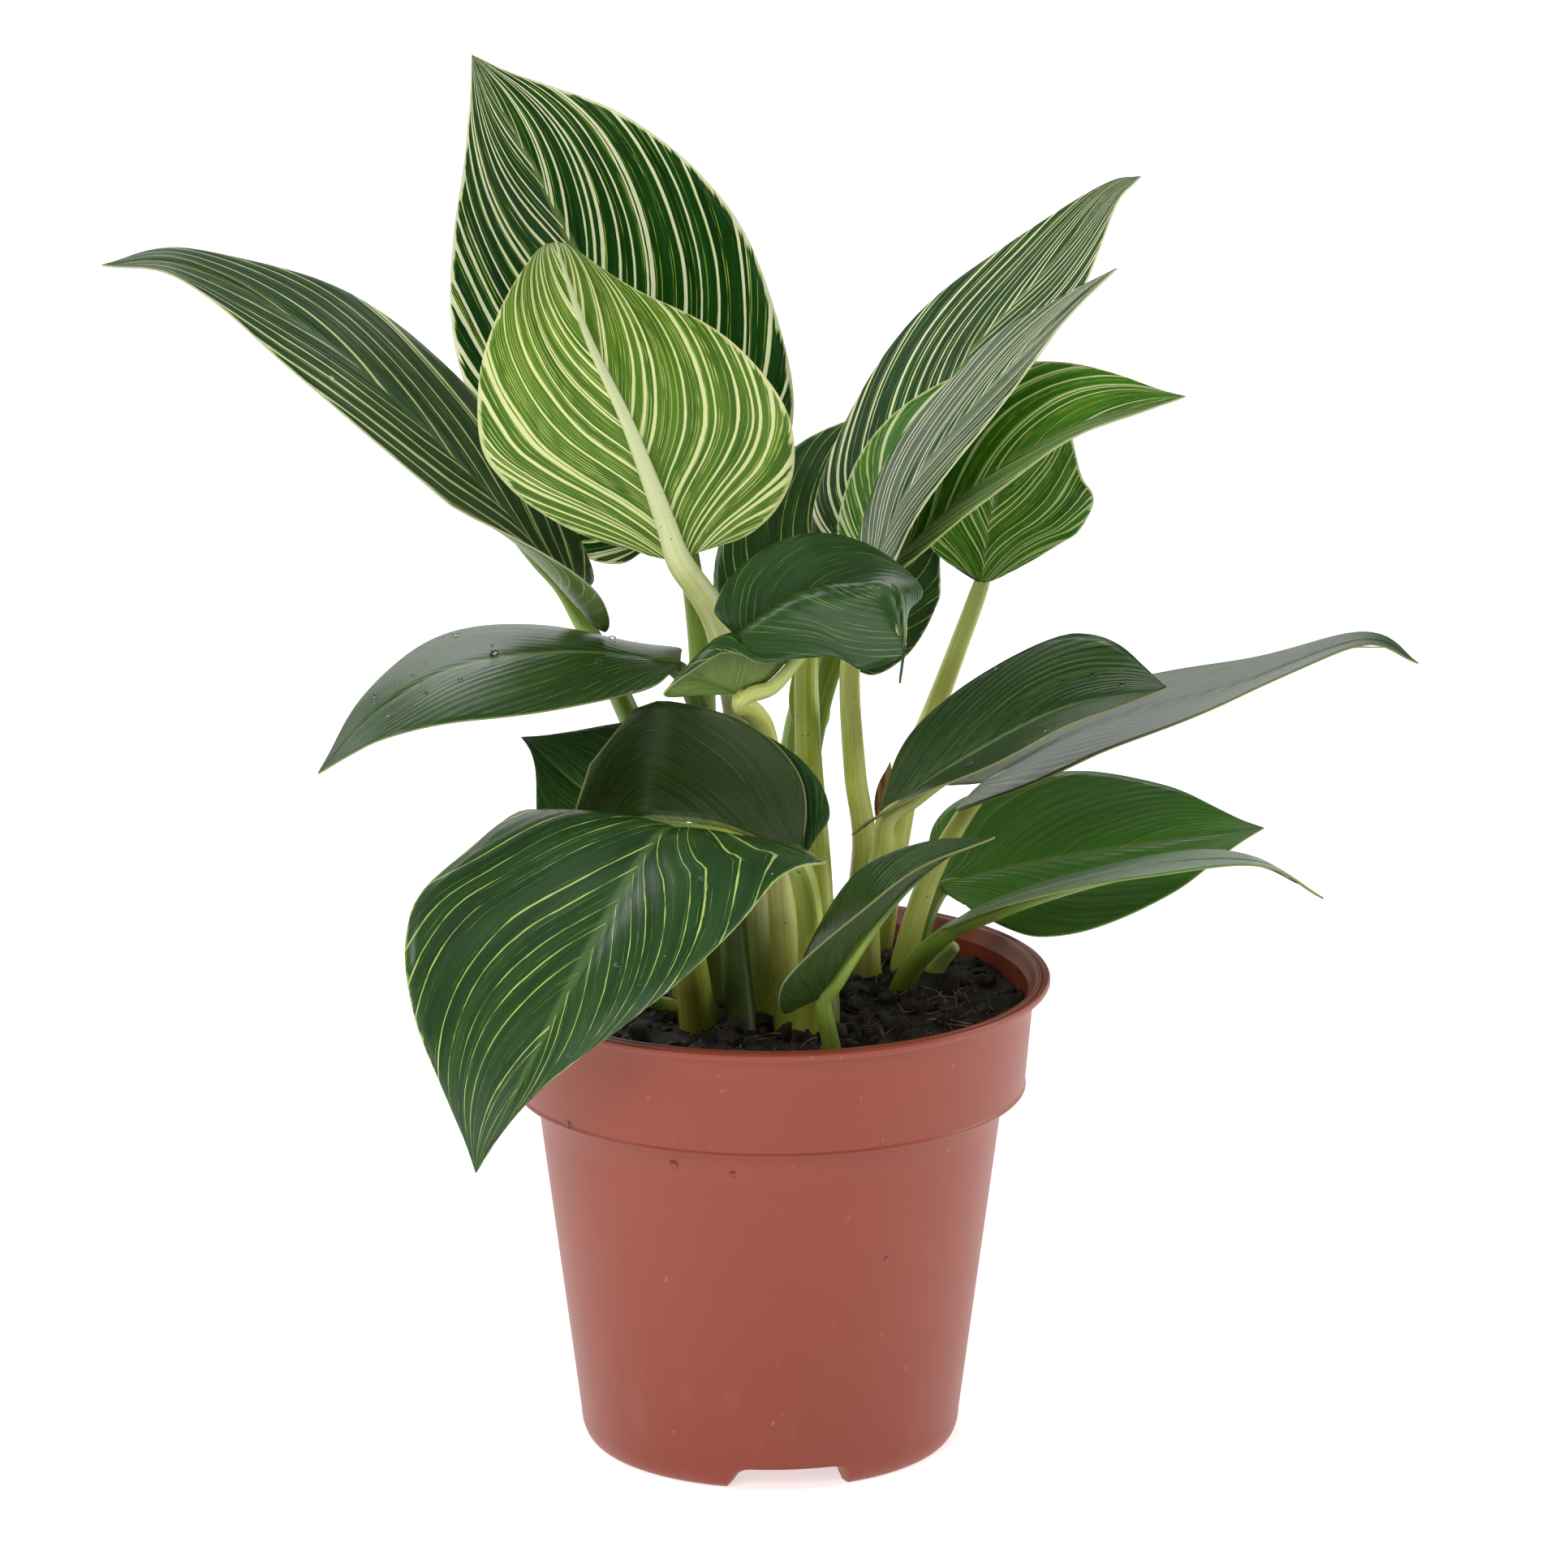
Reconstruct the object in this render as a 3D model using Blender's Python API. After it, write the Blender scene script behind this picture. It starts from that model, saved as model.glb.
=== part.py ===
"""Potted philodendron: a cream-striped philodendron in a plastic nursery pot.

The pot stands on z = 0 with its axis on the Z axis.  Lengths in this script are millimetres and are
scaled to metres by MM when the meshes are made.  The front of the plant faces -Y.
"""

from dataclasses import dataclass
from math import cos, log, pi, radians, sin

import bmesh
import bpy
from mathutils import Matrix, Vector, noise

MM = 0.001

# ---------------------------------------------------------------------------------- driving dimensions

POT_HEIGHT = 103.3
RIM_RADIUS = 60.0
RIM_DEPTH = 1.8
COLLAR_TOP_RADIUS = 56.8
COLLAR_BOTTOM_RADIUS = 54.6
COLLAR_BOTTOM = 78.5
BODY_TOP_RADIUS = 50.2
BODY_BOTTOM_RADIUS = 40.8
FOOT_HEIGHT = 6.0
FOOT_RADIUS = 37.4
WALL = 1.2
FLOOR_TOP = 6.8
FLOOR_BOTTOM = 5.4
FOOT_FLAT = 2.2
POT_SEGMENTS = 48

FOOT_COUNT = 3
FOOT_GAP_CENTRE = -83.4
FOOT_GAP_HALF_ANGLE = 19.0
FOOT_END_ANGLE = 9.0
DRAIN_HOLES = 6
DRAIN_HOLE_RADIUS = 3.5
DRAIN_HOLE_CIRCLE = 24.0

CLEARANCE = 0.4
SOIL_LEVEL = 95.0
SOIL_EDGE_RADIUS = 54.6
ROOTING_DEPTH = 5.0

BLADE_THICKNESS = 0.7
BLADE_ROWS = 11
BLADE_COLUMNS = 6
CURLED_BLADE_COLUMNS = 10
STALK_SIDES = 8
STALK_STEPS = 6
STALK_END_GAP = 1.6
SHEATH_THICKNESS = 0.8

# -------------------------------------------------------------------------------------------- materials

SURFACES = {
    "pot_plastic": ((0.366, 0.098, 0.065), 0.42),
    "soil": ((0.022, 0.014, 0.009), 0.95),
    "striped_leaf": ((0.075, 0.155, 0.045), 0.38),
    "green_leaf": ((0.028, 0.095, 0.030), 0.35),
    "pale_leaf": ((0.400, 0.480, 0.210), 0.45),
    "stalk": ((0.290, 0.400, 0.080), 0.45),
    "dry_sheath": ((0.260, 0.150, 0.060), 0.80),
}


def surface(name):
    """Return the named Principled material, made at its first use."""
    known = bpy.data.materials.get(name)
    if known:
        return known
    colour, roughness = SURFACES[name]
    material = bpy.data.materials.new(name)
    material.use_nodes = True
    shader = material.node_tree.nodes["Principled BSDF"]
    shader.inputs["Base Color"].default_value = (*colour, 1.0)
    shader.inputs["Roughness"].default_value = roughness
    shader.inputs["Metallic"].default_value = 0.0
    return material


def add_object(name, bm, material, parent):
    """Turn a bmesh in millimetres into a smooth-shaded object under the given empty."""
    bmesh.ops.scale(bm, vec=(MM, MM, MM), verts=bm.verts)
    mesh = bpy.data.meshes.new(name)
    bm.to_mesh(mesh)
    bm.free()
    mesh.shade_smooth()
    mesh.set_sharp_from_angle(angle=radians(40.0))
    mesh.materials.append(surface(material))
    piece = bpy.data.objects.new(name, mesh)
    piece.parent = parent
    bpy.context.scene.collection.objects.link(piece)
    return piece


# ------------------------------------------------------------------------------------------ curve tools


def smooth_path(points, samples):
    """Return evenly spaced points on a Catmull-Rom curve through the given points."""
    knots = [Vector(p) for p in points]
    knots = [2 * knots[0] - knots[1], *knots, 2 * knots[-1] - knots[-2]]
    steps = 16
    dense = []
    for a, b, c, d in zip(knots, knots[1:], knots[2:], knots[3:]):
        for step in range(steps):
            u = step / steps
            line = (c - a) * u
            square = (2 * a - 5 * b + 4 * c - d) * u * u
            cube = (3 * b - 3 * c + d - a) * u ** 3
            dense.append((2 * b + line + square + cube) / 2)
    dense.append(knots[-2])
    travelled = [0.0]
    for here, there in zip(dense, dense[1:]):
        travelled.append(travelled[-1] + (there - here).length)
    even = []
    index = 0
    for sample in range(samples + 1):
        goal = travelled[-1] * sample / samples
        while index < len(dense) - 2 and travelled[index + 1] < goal:
            index += 1
        span = travelled[index + 1] - travelled[index]
        even.append(dense[index].lerp(dense[index + 1], (goal - travelled[index]) / span))
    return even


def path_length(path):
    """Return the length of a list of points."""
    return sum((b - a).length for a, b in zip(path, path[1:]))


def on_path(path, fraction):
    """Return the point a fraction of the way along an evenly spaced path."""
    place = min(max(fraction, 0.0), 1.0) * (len(path) - 1)
    index = min(int(place), len(path) - 2)
    return path[index].lerp(path[index + 1], place - index)


def along(values, fraction):
    """Interpolate evenly spaced numbers from the base (0) to the tip (1)."""
    place = min(max(fraction, 0.0), 1.0) * (len(values) - 1)
    index = min(int(place), len(values) - 2)
    return values[index] + (values[index + 1] - values[index]) * (place - index)


# ----------------------------------------------------------------------------------------------- leaves


@dataclass(frozen=True)
class Half:
    """One side of a leaf blade, from the midrib to its margin.

    fold and bend run from the base to the tip in degrees: fold lifts the side off the flat at the
    midrib, and bend is how far it curls towards (+) or away from (-) the upper face by its margin.
    peak is where along the blade the side is widest, lobe how far it reaches behind the stalk, and a
    taper above 1 narrows the side quickly towards the tip. The bend lies at the crease, which runs
    from base to tip as shares of the width, and reaches as far as crease_reach to both sides of it.
    """

    width: float
    fold: tuple = (0, 0)
    bend: tuple = (0, 0)
    peak: float = 0.28
    lobe: float = 0.075
    taper: float = 1.0
    crease: tuple = (0.5, 0.5)
    crease_reach: float = 0.5

    def section(self, across, share, breadth):
        """Return how far a point lies sideways and up when the side bends at its crease."""
        bend = radians(along(self.bend, share))
        crease = along(self.crease, share)
        span = breadth if self.crease_reach < 0.5 else self.width
        start = max(crease - self.crease_reach, 0.0) * span
        end = (crease + self.crease_reach) * span
        if across <= start or abs(bend) < 1e-6:
            return across, 0.0
        curve = bend / (end - start)
        turned = curve * (min(across, end) - start)
        beyond = max(across - end, 0.0)
        sideways = start + sin(turned) / curve + beyond * cos(turned)
        return sideways, (1 - cos(turned)) / curve + beyond * sin(turned)

    def margin(self):
        """Return the margin as (along the blade, share of the width) points from base to tip."""
        p, lobe, rest = self.peak, self.lobe, 1 - self.peak
        if lobe >= 0:
            near = [(0, 0), (-0.55 * lobe, 0.22), (-lobe, 0.48), (0.12 * p - 0.45 * lobe, 0.74)]
            near.append((0.42 * p, 0.93))
        else:
            near = [(0, 0), (-0.35 * lobe, 0.22), (-0.8 * lobe, 0.48), (0.12 * p - 1.1 * lobe, 0.74)]
            near.append((0.42 * p - 0.9 * lobe, 0.93))
        far = [(p + 0.26 * rest, 0.90), (p + 0.53 * rest, 0.64), (p + 0.75 * rest, 0.33)]
        far.append((p + 0.89 * rest, 0.13))
        far = [(x, y ** self.taper) for x, y in far]
        return [Vector((x, y, 0)) for x, y in [*near, (p, 1), *far, (1, 0)]]


@dataclass(frozen=True)
class Leaf:
    """A leaf: its stalk from the soil, its midrib, and the way its upper face looks."""

    name: str
    stalk: tuple
    stalk_radii: tuple
    midrib: tuple
    faces: tuple
    left: Half
    right: Half
    material: str = "striped_leaf"
    columns: int = BLADE_COLUMNS


LEAVES = (
    Leaf(
        "tall_back_leaf",
        ((-12, 10, 96), (-14, 20, 134), (-15, 32, 167)), (3.8, 2.2),
        ((-19, 40, 193), (-30, 44, 221), (-45, 42, 259), (-63, 26, 298)),
        ((0.05, -1, 0.2), (0.1, -1, 0.3)),
        Half(34, (5, 5), (15, 10), 0.38, 0.03),
        Half(36, (5, 5), (15, 10), 0.42, 0),
    ),
    Leaf(
        "pale_front_leaf",
        ((-2, 0, 96), (-4, -4, 130), (-6, -6, 158), (-11, -10, 183)), (4.0, 2.8),
        ((-19, -17, 199), (-29, -26, 229), (-39, -24, 251), (-44, -14, 264), (-45, 0, 263)),
        ((-0.1, 1, 0.2), (-0.1, 1, 0.1), (0, 0.8, -0.6)),
        Half(32, (5, 5), (10, 10), 0.26, 0.01, 1.7),
        Half(31, (5, 5), (10, 10), 0.46, -0.13, 1.7),
        "pale_leaf",
    ),
    Leaf(
        "curled_centre_leaf",
        ((4, -9, 96), (2, -10, 125), (-1, -12, 159)), (3.8, 2.2),
        (
            (-7, -26, 172), (0, -25, 175), (6, -24, 182), (12, -25, 189), (20, -29, 194), (26, -34, 197),
            (28, -41, 196), (28, -48, 188), (27, -52, 181),
        ),
        ((-0.5, 0, 0.85), (-0.5, 0, 0.85), (-0.4, -0.1, 0.9), (-0.1, -0.5, 0.85), (0, -1, 0.2), (0, -1, 0.1)),
        Half(20, (75, 80, 60, -30, -85, -85), (10, 10), 0.3, -0.05, 3.2),
        Half(
            29, (88, 90, 83, 75, 30, 0), (-160, -165, -165, -165, -120, -60), 0.48, 0.20, 3.5,
            (0.72, 0.5, 0.3, 0.25, 0.2, 0.2), 0.14,
        ),
        "green_leaf",
        CURLED_BLADE_COLUMNS,
    ),
    Leaf(
        "long_left_leaf",
        ((-17, 3, 96), (-19, 12, 127), (-30, 16, 156)), (3.8, 2.2),
        ((-41, 13, 183), (-60, 3, 209), (-93, -4, 243), (-122, -4, 259), (-140, -4, 259)),
        ((0.45, -0.3, 0.75),) * 2,
        Half(27, (0, 0), (90, 20, 0, 0), 0.28, 0.03),
        Half(28, (0, 0), (0, 0), 0.28, 0.04),
    ),
    Leaf(
        "arching_left_leaf",
        ((-6, -13, 96), (-9, -9, 130), (-14, -8, 160)), (3.6, 2.2),
        ((-19, -8, 174), (-42, -14, 178), (-66, -20, 176), (-83, -24, 167), (-95, -24, 154)),
        ((0, -0.1, 1), (-0.5, -0.3, 0.8)),
        Half(24, (0, 0), (-20, -10), 0.42, -0.10),
        Half(24, (0, 0), (-20, -10), 0.38, 0.03),
        "green_leaf",
    ),
    Leaf(
        "rolled_inner_leaf",
        ((8, -20, 96), (9, -26, 118)), (3.4, 2.8),
        ((7, -30, 137), (-10, -25, 143), (-33, -11, 143), (-53, 2, 155)),
        ((0.3, -0.1, 0.9),) * 2,
        Half(
            25, (60, 68, 74, 79, 83, 86, 87, 88, 88, 88, 80, 15) + (-45,) * 9,
            (12, 12, 12, 0, 0), 0.5, -0.04, 1.5,
        ),
        Half(23, (70, 70, 50), (10, 0), 0.6, 0.02),
        "green_leaf",
        CURLED_BLADE_COLUMNS,
    ),
    Leaf(
        "hanging_front_leaf",
        ((-15, -11, 96), (-18, -24, 123)), (4.2, 2.8),
        ((-15, -41, 145), (-23, -54, 149), (-37, -67, 128), (-51, -72, 102), (-61, -72, 81)),
        ((0, -0.1, 1), (-0.1, -0.6, 0.8), (-0.1, -1, 0.4), (-0.1, -1, 0.2)),
        Half(32, (15, 8, 0), (-25, -45, -30), 0.02, 0.085, 1.7),
        Half(41, (0, 0), (-35, -20, -10), 0.50, 0.02),
        "green_leaf",
    ),
    Leaf(
        "tall_right_leaf",
        ((11, -7, 96), (10, 2, 124), (8, 14, 153), (9, 24, 171)), (3.8, 2.2),
        ((18, 36, 184), (30, 42, 207), (42, 44, 228), (59, 42, 248), (72, 38, 265), (79, 34, 270)),
        ((-0.55, -0.6, 0.55),) * 2,
        Half(21, (0, 0), (0, 0), 0.30, 0.03),
        Half(22, (10, 10), (0, 0), 0.45, 0.0, 0.8),
    ),
    Leaf(
        "narrow_right_leaf",
        ((17, 32, 96), (20, 24, 124), (18, 18, 143), (17, 11, 169)), (3.2, 2.2),
        ((20, 8, 185), (29, 6, 208), (45, 6, 229), (63, 4, 248), (73, 2, 257)),
        ((-0.76, -0.12, 0.62),) * 2,
        Half(22, (5, 5), (0, 0), 0.35, 0.03),
        Half(14, (0, 0), (-15, -10), 0.35, 0.03),
    ),
    Leaf(
        "pointed_right_leaf",
        ((6, 17, 96), (6, 22, 124), (9, 25, 150), (16, 25, 172)), (3.8, 2.2),
        ((25, 22, 187), (43, 17, 206), (65, 12, 221), (88, 8, 228)),
        ((-0.2, -0.75, 0.6),) * 2,
        Half(26),
        Half(14, (50, 40)),
    ),
    Leaf(
        "small_back_leaf",
        ((23, 38, 96), (27, 42, 118), (31, 48, 136), (38, 55, 153)), (3.2, 1.9),
        ((46, 58, 175), (48, 62, 189), (53, 64, 204), (62, 60, 217)),
        ((-0.1, -1, 0.3),) * 2,
        Half(18, (0, 0), (0, 0), 0.45, -0.10),
        Half(21, (0, 0), (0, 0), 0.5, -0.14, 0.7),
    ),
    Leaf(
        "dark_back_leaf",
        ((1, 24, 96), (3, 34, 121), (6, 46, 145)), (3.8, 2.8),
        ((11, 56, 160), (13, 66, 176), (20, 72, 192), (30, 66, 215)),
        ((-0.1, -1, 0.3),) * 2,
        Half(25),
        Half(25),
        "green_leaf",
    ),
    Leaf(
        "upper_side_leaf",
        ((21, 18, 96), (21, 12, 112), (24, 5, 129)), (3.2, 2.2),
        ((24, 2, 138), (40, 0, 150), (62, -4, 163), (84, -10, 169)),
        ((-0.3, -0.35, 0.85),) * 2,
        Half(22, (10, 5), (0, 0), 0.64, -0.12, 0.9),
        Half(24, (35, 10)),
        "green_leaf",
    ),
    Leaf(
        "long_side_leaf",
        ((28, 24, 96), (33, 26, 114), (40, 27, 128)), (3.2, 1.9),
        ((46, 28, 138), (70, 30, 150), (100, 30, 159), (127, 26, 170), (139, 22, 166)),
        ((-0.1, 0, 1),) * 2,
        Half(20, (5, 5)),
        Half(22, (0, 5)),
        "green_leaf",
    ),
    Leaf(
        "broad_side_leaf",
        ((32, 33, 96), (33, 35, 104)), (2.8, 2.1),
        ((37, 38, 112), (55, 40, 116), (79, 38, 121), (107, 34, 126)),
        ((-0.1, -0.6, 0.78),) * 2,
        Half(23, (0, 0), (0, 0), 0.38, 0),
        Half(21, (0, 0), (0, 0), 0.42, -0.10),
        "green_leaf",
    ),
    Leaf(
        "low_side_leaf",
        ((28, 12, 96), (32, 9, 104)), (3.0, 2.1),
        ((39, 6, 113), (57, 2, 121), (82, -2, 128), (104, -4, 129), (118, -4, 121)),
        ((-0.1, 0.15, 1),) * 2,
        Half(19, (0, 0), (0, 0), 0.36, 0),
        Half(19, (0, 0), (0, 0), 0.36, 0),
        "green_leaf",
    ),
    Leaf(
        "small_front_leaf",
        ((13, -36, 96), (12, -40, 103)), (2.3, 1.9),
        ((10, -42, 110), (22, -47, 129), (34, -47, 141), (47, -45, 146)),
        ((-0.5, -0.2, 0.8),) * 2,
        Half(16, (20, 10)),
        Half(16, (50, 20)),
        "green_leaf",
    ),
)

# Short pieces that rise from the soil and carry no blade: name, path, radii at foot and end, material
STUBS = (
    ("left_cut_stalk", ((-20, -4, 96), (-24, -5, 98), (-28, -6, 99)), (1.9, 1.6), "stalk"),
    ("right_cut_stalk", ((34, 20, 96), (37, 18, 101), (40, 16, 105)), (2.4, 1.8), "stalk"),
)

# Papery sheaths that stand beside the stalks: name, midrib, face, half, material
SHEATHS = (
    ("green_sheath", ((9, 29, 150), (8, 31, 160), (7, 33, 168)), (0.2, -1, 0.1), Half(4.5), "stalk"),
    ("brown_sheath", ((25, 35, 127), (25, 36, 134), (26, 37, 140)), (0.2, -1, 0), Half(2.4), "dry_sheath"),
)


def blade_frame(path, faces, fraction):
    """Return the midrib point and the left, forward and upper directions at a fraction of the blade."""
    step = 0.02
    forward = (on_path(path, fraction + step) - on_path(path, fraction - step)).normalized()
    face = on_path([Vector(f).normalized() for f in faces], fraction)
    upper = (face - face.dot(forward) * forward).normalized()
    left = upper.cross(forward)
    return on_path(path, fraction), left, forward, upper


def form_blade(path, faces, halves, run, reach):
    """Place one point of a flat blade on the leaf's formed surface.

    run goes from 0 at the stalk to 1 at the tip along the margin, and reach from -1 on the right
    margin over 0 on the midrib to 1 on the left margin, along a vein.
    """
    half, margin = halves[0] if reach >= 0 else halves[1]
    side = 1 if reach >= 0 else -1
    edge = on_path(margin, run)
    vein_root = max(0.0, (run - 0.12) / 0.88) ** 1.15
    out = abs(reach)
    forward_share = vein_root + (edge.x - vein_root) * out ** 1.5
    across = edge.y * out ** 0.92 * half.width
    base, left, forward, upper = blade_frame(path, faces, max(forward_share, 0.0))
    base = base + min(forward_share, 0.0) * path_length(path) * forward
    fold = radians(along(half.fold, forward_share))
    sideways, rise = half.section(across, forward_share, edge.y * half.width)
    turned_sideways = sideways * cos(fold) - rise * sin(fold)
    turned_rise = sideways * sin(fold) + rise * cos(fold)
    return base + side * turned_sideways * left + turned_rise * upper


def sheet_mesh(midrib, faces, left, right, rows, columns):
    """Form a flat grid into a leaf blade, as an open sheet."""
    path = smooth_path(midrib, 60)
    halves = [(half, smooth_path(half.margin(), 120)) for half in (left, right)]
    bm = bmesh.new()
    bmesh.ops.create_grid(bm, x_segments=rows, y_segments=columns, size=1.0)
    for vert in bm.verts:
        vert.co = form_blade(path, faces, halves, (vert.co.x + 1) / 2, vert.co.y)
    bmesh.ops.remove_doubles(bm, verts=bm.verts, dist=0.05)
    bmesh.ops.dissolve_degenerate(bm, edges=bm.edges, dist=0.01)
    return bm


def add_sheet(name, bm, thickness, material, parent):
    """Add an open sheet and give it its thickness, half to each side."""
    piece = add_object(name, bm, material, parent)
    solidify = piece.modifiers.new("Thickness", "SOLIDIFY")
    solidify.thickness = thickness * MM
    solidify.offset = 0.0
    return piece


def stalk_mesh(points, radii, grow=0.0):
    """Bend a straight tapered rod onto a path, optionally grown all round as a cutter."""
    path = smooth_path(points, 40)
    bm = bmesh.new()
    bmesh.ops.create_cone(bm, cap_ends=True, segments=STALK_SIDES, radius1=1, radius2=1, depth=1)
    for step in range(1, STALK_STEPS):
        plane = (0, 0, step / STALK_STEPS - 0.5)
        geometry = [*bm.verts, *bm.edges, *bm.faces]
        bmesh.ops.bisect_plane(bm, geom=geometry, plane_co=plane, plane_no=(0, 0, 1))
    for vert in bm.verts:
        share = vert.co.z + 0.5
        step = 0.02
        forward = (on_path(path, share + step) - on_path(path, share - step)).normalized()
        right = Vector((0, 1, 0)).cross(forward).normalized()
        out = forward.cross(right)
        radius = radii[0] + (radii[1] - radii[0]) * share + grow
        vert.co = on_path(path, share) + (right * vert.co.x + out * vert.co.y) * radius
    return bm


def rooted(points):
    """Return a stalk's points with the first one pushed down into the soil."""
    first = Vector(points[0])
    return (first - Vector((0, 0, ROOTING_DEPTH)), *points)


def stalk_points(leaf):
    """Return the points of a leaf's stalk, from in the soil to just short of its blade."""
    blade_base = Vector(leaf.midrib[0])
    last = Vector(leaf.stalk[-1])
    end = blade_base - (blade_base - last).normalized() * (STALK_END_GAP + leaf.stalk_radii[1] / 2)
    return (*rooted(leaf.stalk), end)


# -------------------------------------------------------------------------------------------------- pot


def body_radius(height):
    """Outer radius of the pot's tapered body at a height."""
    share = (height - FOOT_HEIGHT) / (COLLAR_BOTTOM - FOOT_HEIGHT)
    return BODY_BOTTOM_RADIUS + (BODY_TOP_RADIUS - BODY_BOTTOM_RADIUS) * share


def pot_profile():
    """Return the wall's closed section as (radius, height) points, down the outside and up the inside."""
    lip_bottom = POT_HEIGHT - RIM_DEPTH
    collar_inner_top = COLLAR_TOP_RADIUS - WALL
    collar_inner_bottom = COLLAR_BOTTOM_RADIUS - WALL
    outside = [
        (RIM_RADIUS - 1.6, POT_HEIGHT),
        (RIM_RADIUS - 0.4, POT_HEIGHT),
        (RIM_RADIUS, POT_HEIGHT - 0.5),
        (RIM_RADIUS, lip_bottom + 0.3),
        (RIM_RADIUS - 0.6, lip_bottom),
        (COLLAR_TOP_RADIUS + 0.3, lip_bottom - 0.3),
        (COLLAR_TOP_RADIUS, lip_bottom - 1.2),
        (COLLAR_BOTTOM_RADIUS, COLLAR_BOTTOM + 1.0),
        (COLLAR_BOTTOM_RADIUS - 1.0, COLLAR_BOTTOM),
        (BODY_TOP_RADIUS + 0.8, COLLAR_BOTTOM - 0.4),
        (body_radius(COLLAR_BOTTOM - 1.4), COLLAR_BOTTOM - 1.4),
        (BODY_BOTTOM_RADIUS, FOOT_HEIGHT),
    ]
    foot_bend = 3.4
    for step in range(1, 4):
        angle = step * pi / 8
        radius = FOOT_RADIUS + foot_bend * cos(angle)
        outside.append((radius, FOOT_HEIGHT * (1 - sin(angle))))
    inside = [
        (FOOT_RADIUS, 0.0),
        (FOOT_RADIUS - FOOT_FLAT, 0.0),
        (FOOT_RADIUS - FOOT_FLAT, FLOOR_BOTTOM),
        (0.0, FLOOR_BOTTOM),
        (0.0, FLOOR_TOP),
        (body_radius(FLOOR_TOP) - WALL - 1.5, FLOOR_TOP),
        (body_radius(FLOOR_TOP + 1.5) - WALL, FLOOR_TOP + 1.5),
        (body_radius(COLLAR_BOTTOM - 2.0) - WALL, COLLAR_BOTTOM - 2.0),
        (BODY_TOP_RADIUS - 0.4, COLLAR_BOTTOM - 0.4 + WALL),
        (collar_inner_bottom - 1.0, COLLAR_BOTTOM + WALL),
        (collar_inner_bottom, COLLAR_BOTTOM + 1.0 + WALL),
        (collar_inner_top, lip_bottom - 1.2),
        (collar_inner_top + 1.6, POT_HEIGHT - 0.8),
    ]
    return outside + inside


def foot_lift(angle):
    """Share of the foot height that the lower edge rises at an angle: 1 in a gap, 0 on a foot."""
    pitch = 2 * pi / FOOT_COUNT
    away = abs((angle - radians(FOOT_GAP_CENTRE) + pitch / 2) % pitch - pitch / 2)
    share = (radians(FOOT_GAP_HALF_ANGLE) - away) / radians(FOOT_END_ANGLE)
    share = min(max(share, 0.0), 1.0)
    return (1 - (1 - share) ** 2) ** 0.5


def spin_profile(profile, segments):
    """Turn a closed section about the Z axis into a solid, its axis points merged."""
    bm = bmesh.new()
    verts = [bm.verts.new((radius, 0, height)) for radius, height in profile]
    edges = [bm.edges.new(pair) for pair in zip(verts, verts[1:])]
    if profile[0][0] > 0:
        edges.append(bm.edges.new((verts[-1], verts[0])))
    bmesh.ops.spin(
        bm, geom=[*verts, *edges], cent=(0, 0, 0), axis=(0, 0, 1), angle=2 * pi,
        steps=segments, use_merge=True,
    )
    bmesh.ops.remove_doubles(bm, verts=bm.verts, dist=0.001)
    bmesh.ops.recalc_face_normals(bm, faces=bm.faces)
    return bm


def cutter(name, bm, parent):
    """Add a hidden wire-frame cutter."""
    tool = add_object(name, bm, "soil", parent)
    tool.hide_render = True
    tool.display_type = "WIRE"
    return tool


def cut(piece, tool):
    """Take the cutter's shape out of a piece."""
    boolean = piece.modifiers.new(tool.name, "BOOLEAN")
    boolean.operation = "DIFFERENCE"
    boolean.solver = "EXACT"
    boolean.object = tool


def add_pot(parent):
    """Add the pot: collar, rim, tapered wall, floor with drain holes, and three curved feet."""
    bm = spin_profile(pot_profile(), POT_SEGMENTS)
    for vert in bm.verts:
        if vert.co.z < FLOOR_BOTTOM - 0.1:
            lift = foot_lift(vert.co.to_2d().angle_signed(Vector((1, 0))))
            vert.co.z += (FLOOR_BOTTOM - 0.3 - vert.co.z) * lift * 0.98
    pot = add_object("pot", bm, "pot_plastic", parent)
    holes = bmesh.new()
    for index in range(DRAIN_HOLES):
        spot = Matrix.Rotation(2 * pi * index / DRAIN_HOLES, 4, "Z")
        spot = spot @ Matrix.Translation((DRAIN_HOLE_CIRCLE, 0, (FLOOR_TOP + FLOOR_BOTTOM) / 2))
        bmesh.ops.create_cone(
            holes, cap_ends=True, segments=12, radius1=DRAIN_HOLE_RADIUS, radius2=DRAIN_HOLE_RADIUS,
            depth=4 * WALL, matrix=spot,
        )
    cut(pot, cutter("drain_hole_cutter", holes, parent))


# ------------------------------------------------------------------------------------------------- soil


def soil_height(x, y):
    """Height of the soil at a point: a shallow slope with a mound at the back right, and lumps."""
    mound = 2.6 * max(0.0, 1 - Vector((x - 34, y - 22)).length / 40)
    lumps = 1.5 * noise.noise(Vector((x / 9, y / 9, 0.5))) + 0.7 * noise.noise(Vector((x / 4, y / 4, 3.5)))
    return SOIL_LEVEL + 0.02 * y + mound + lumps


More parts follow.
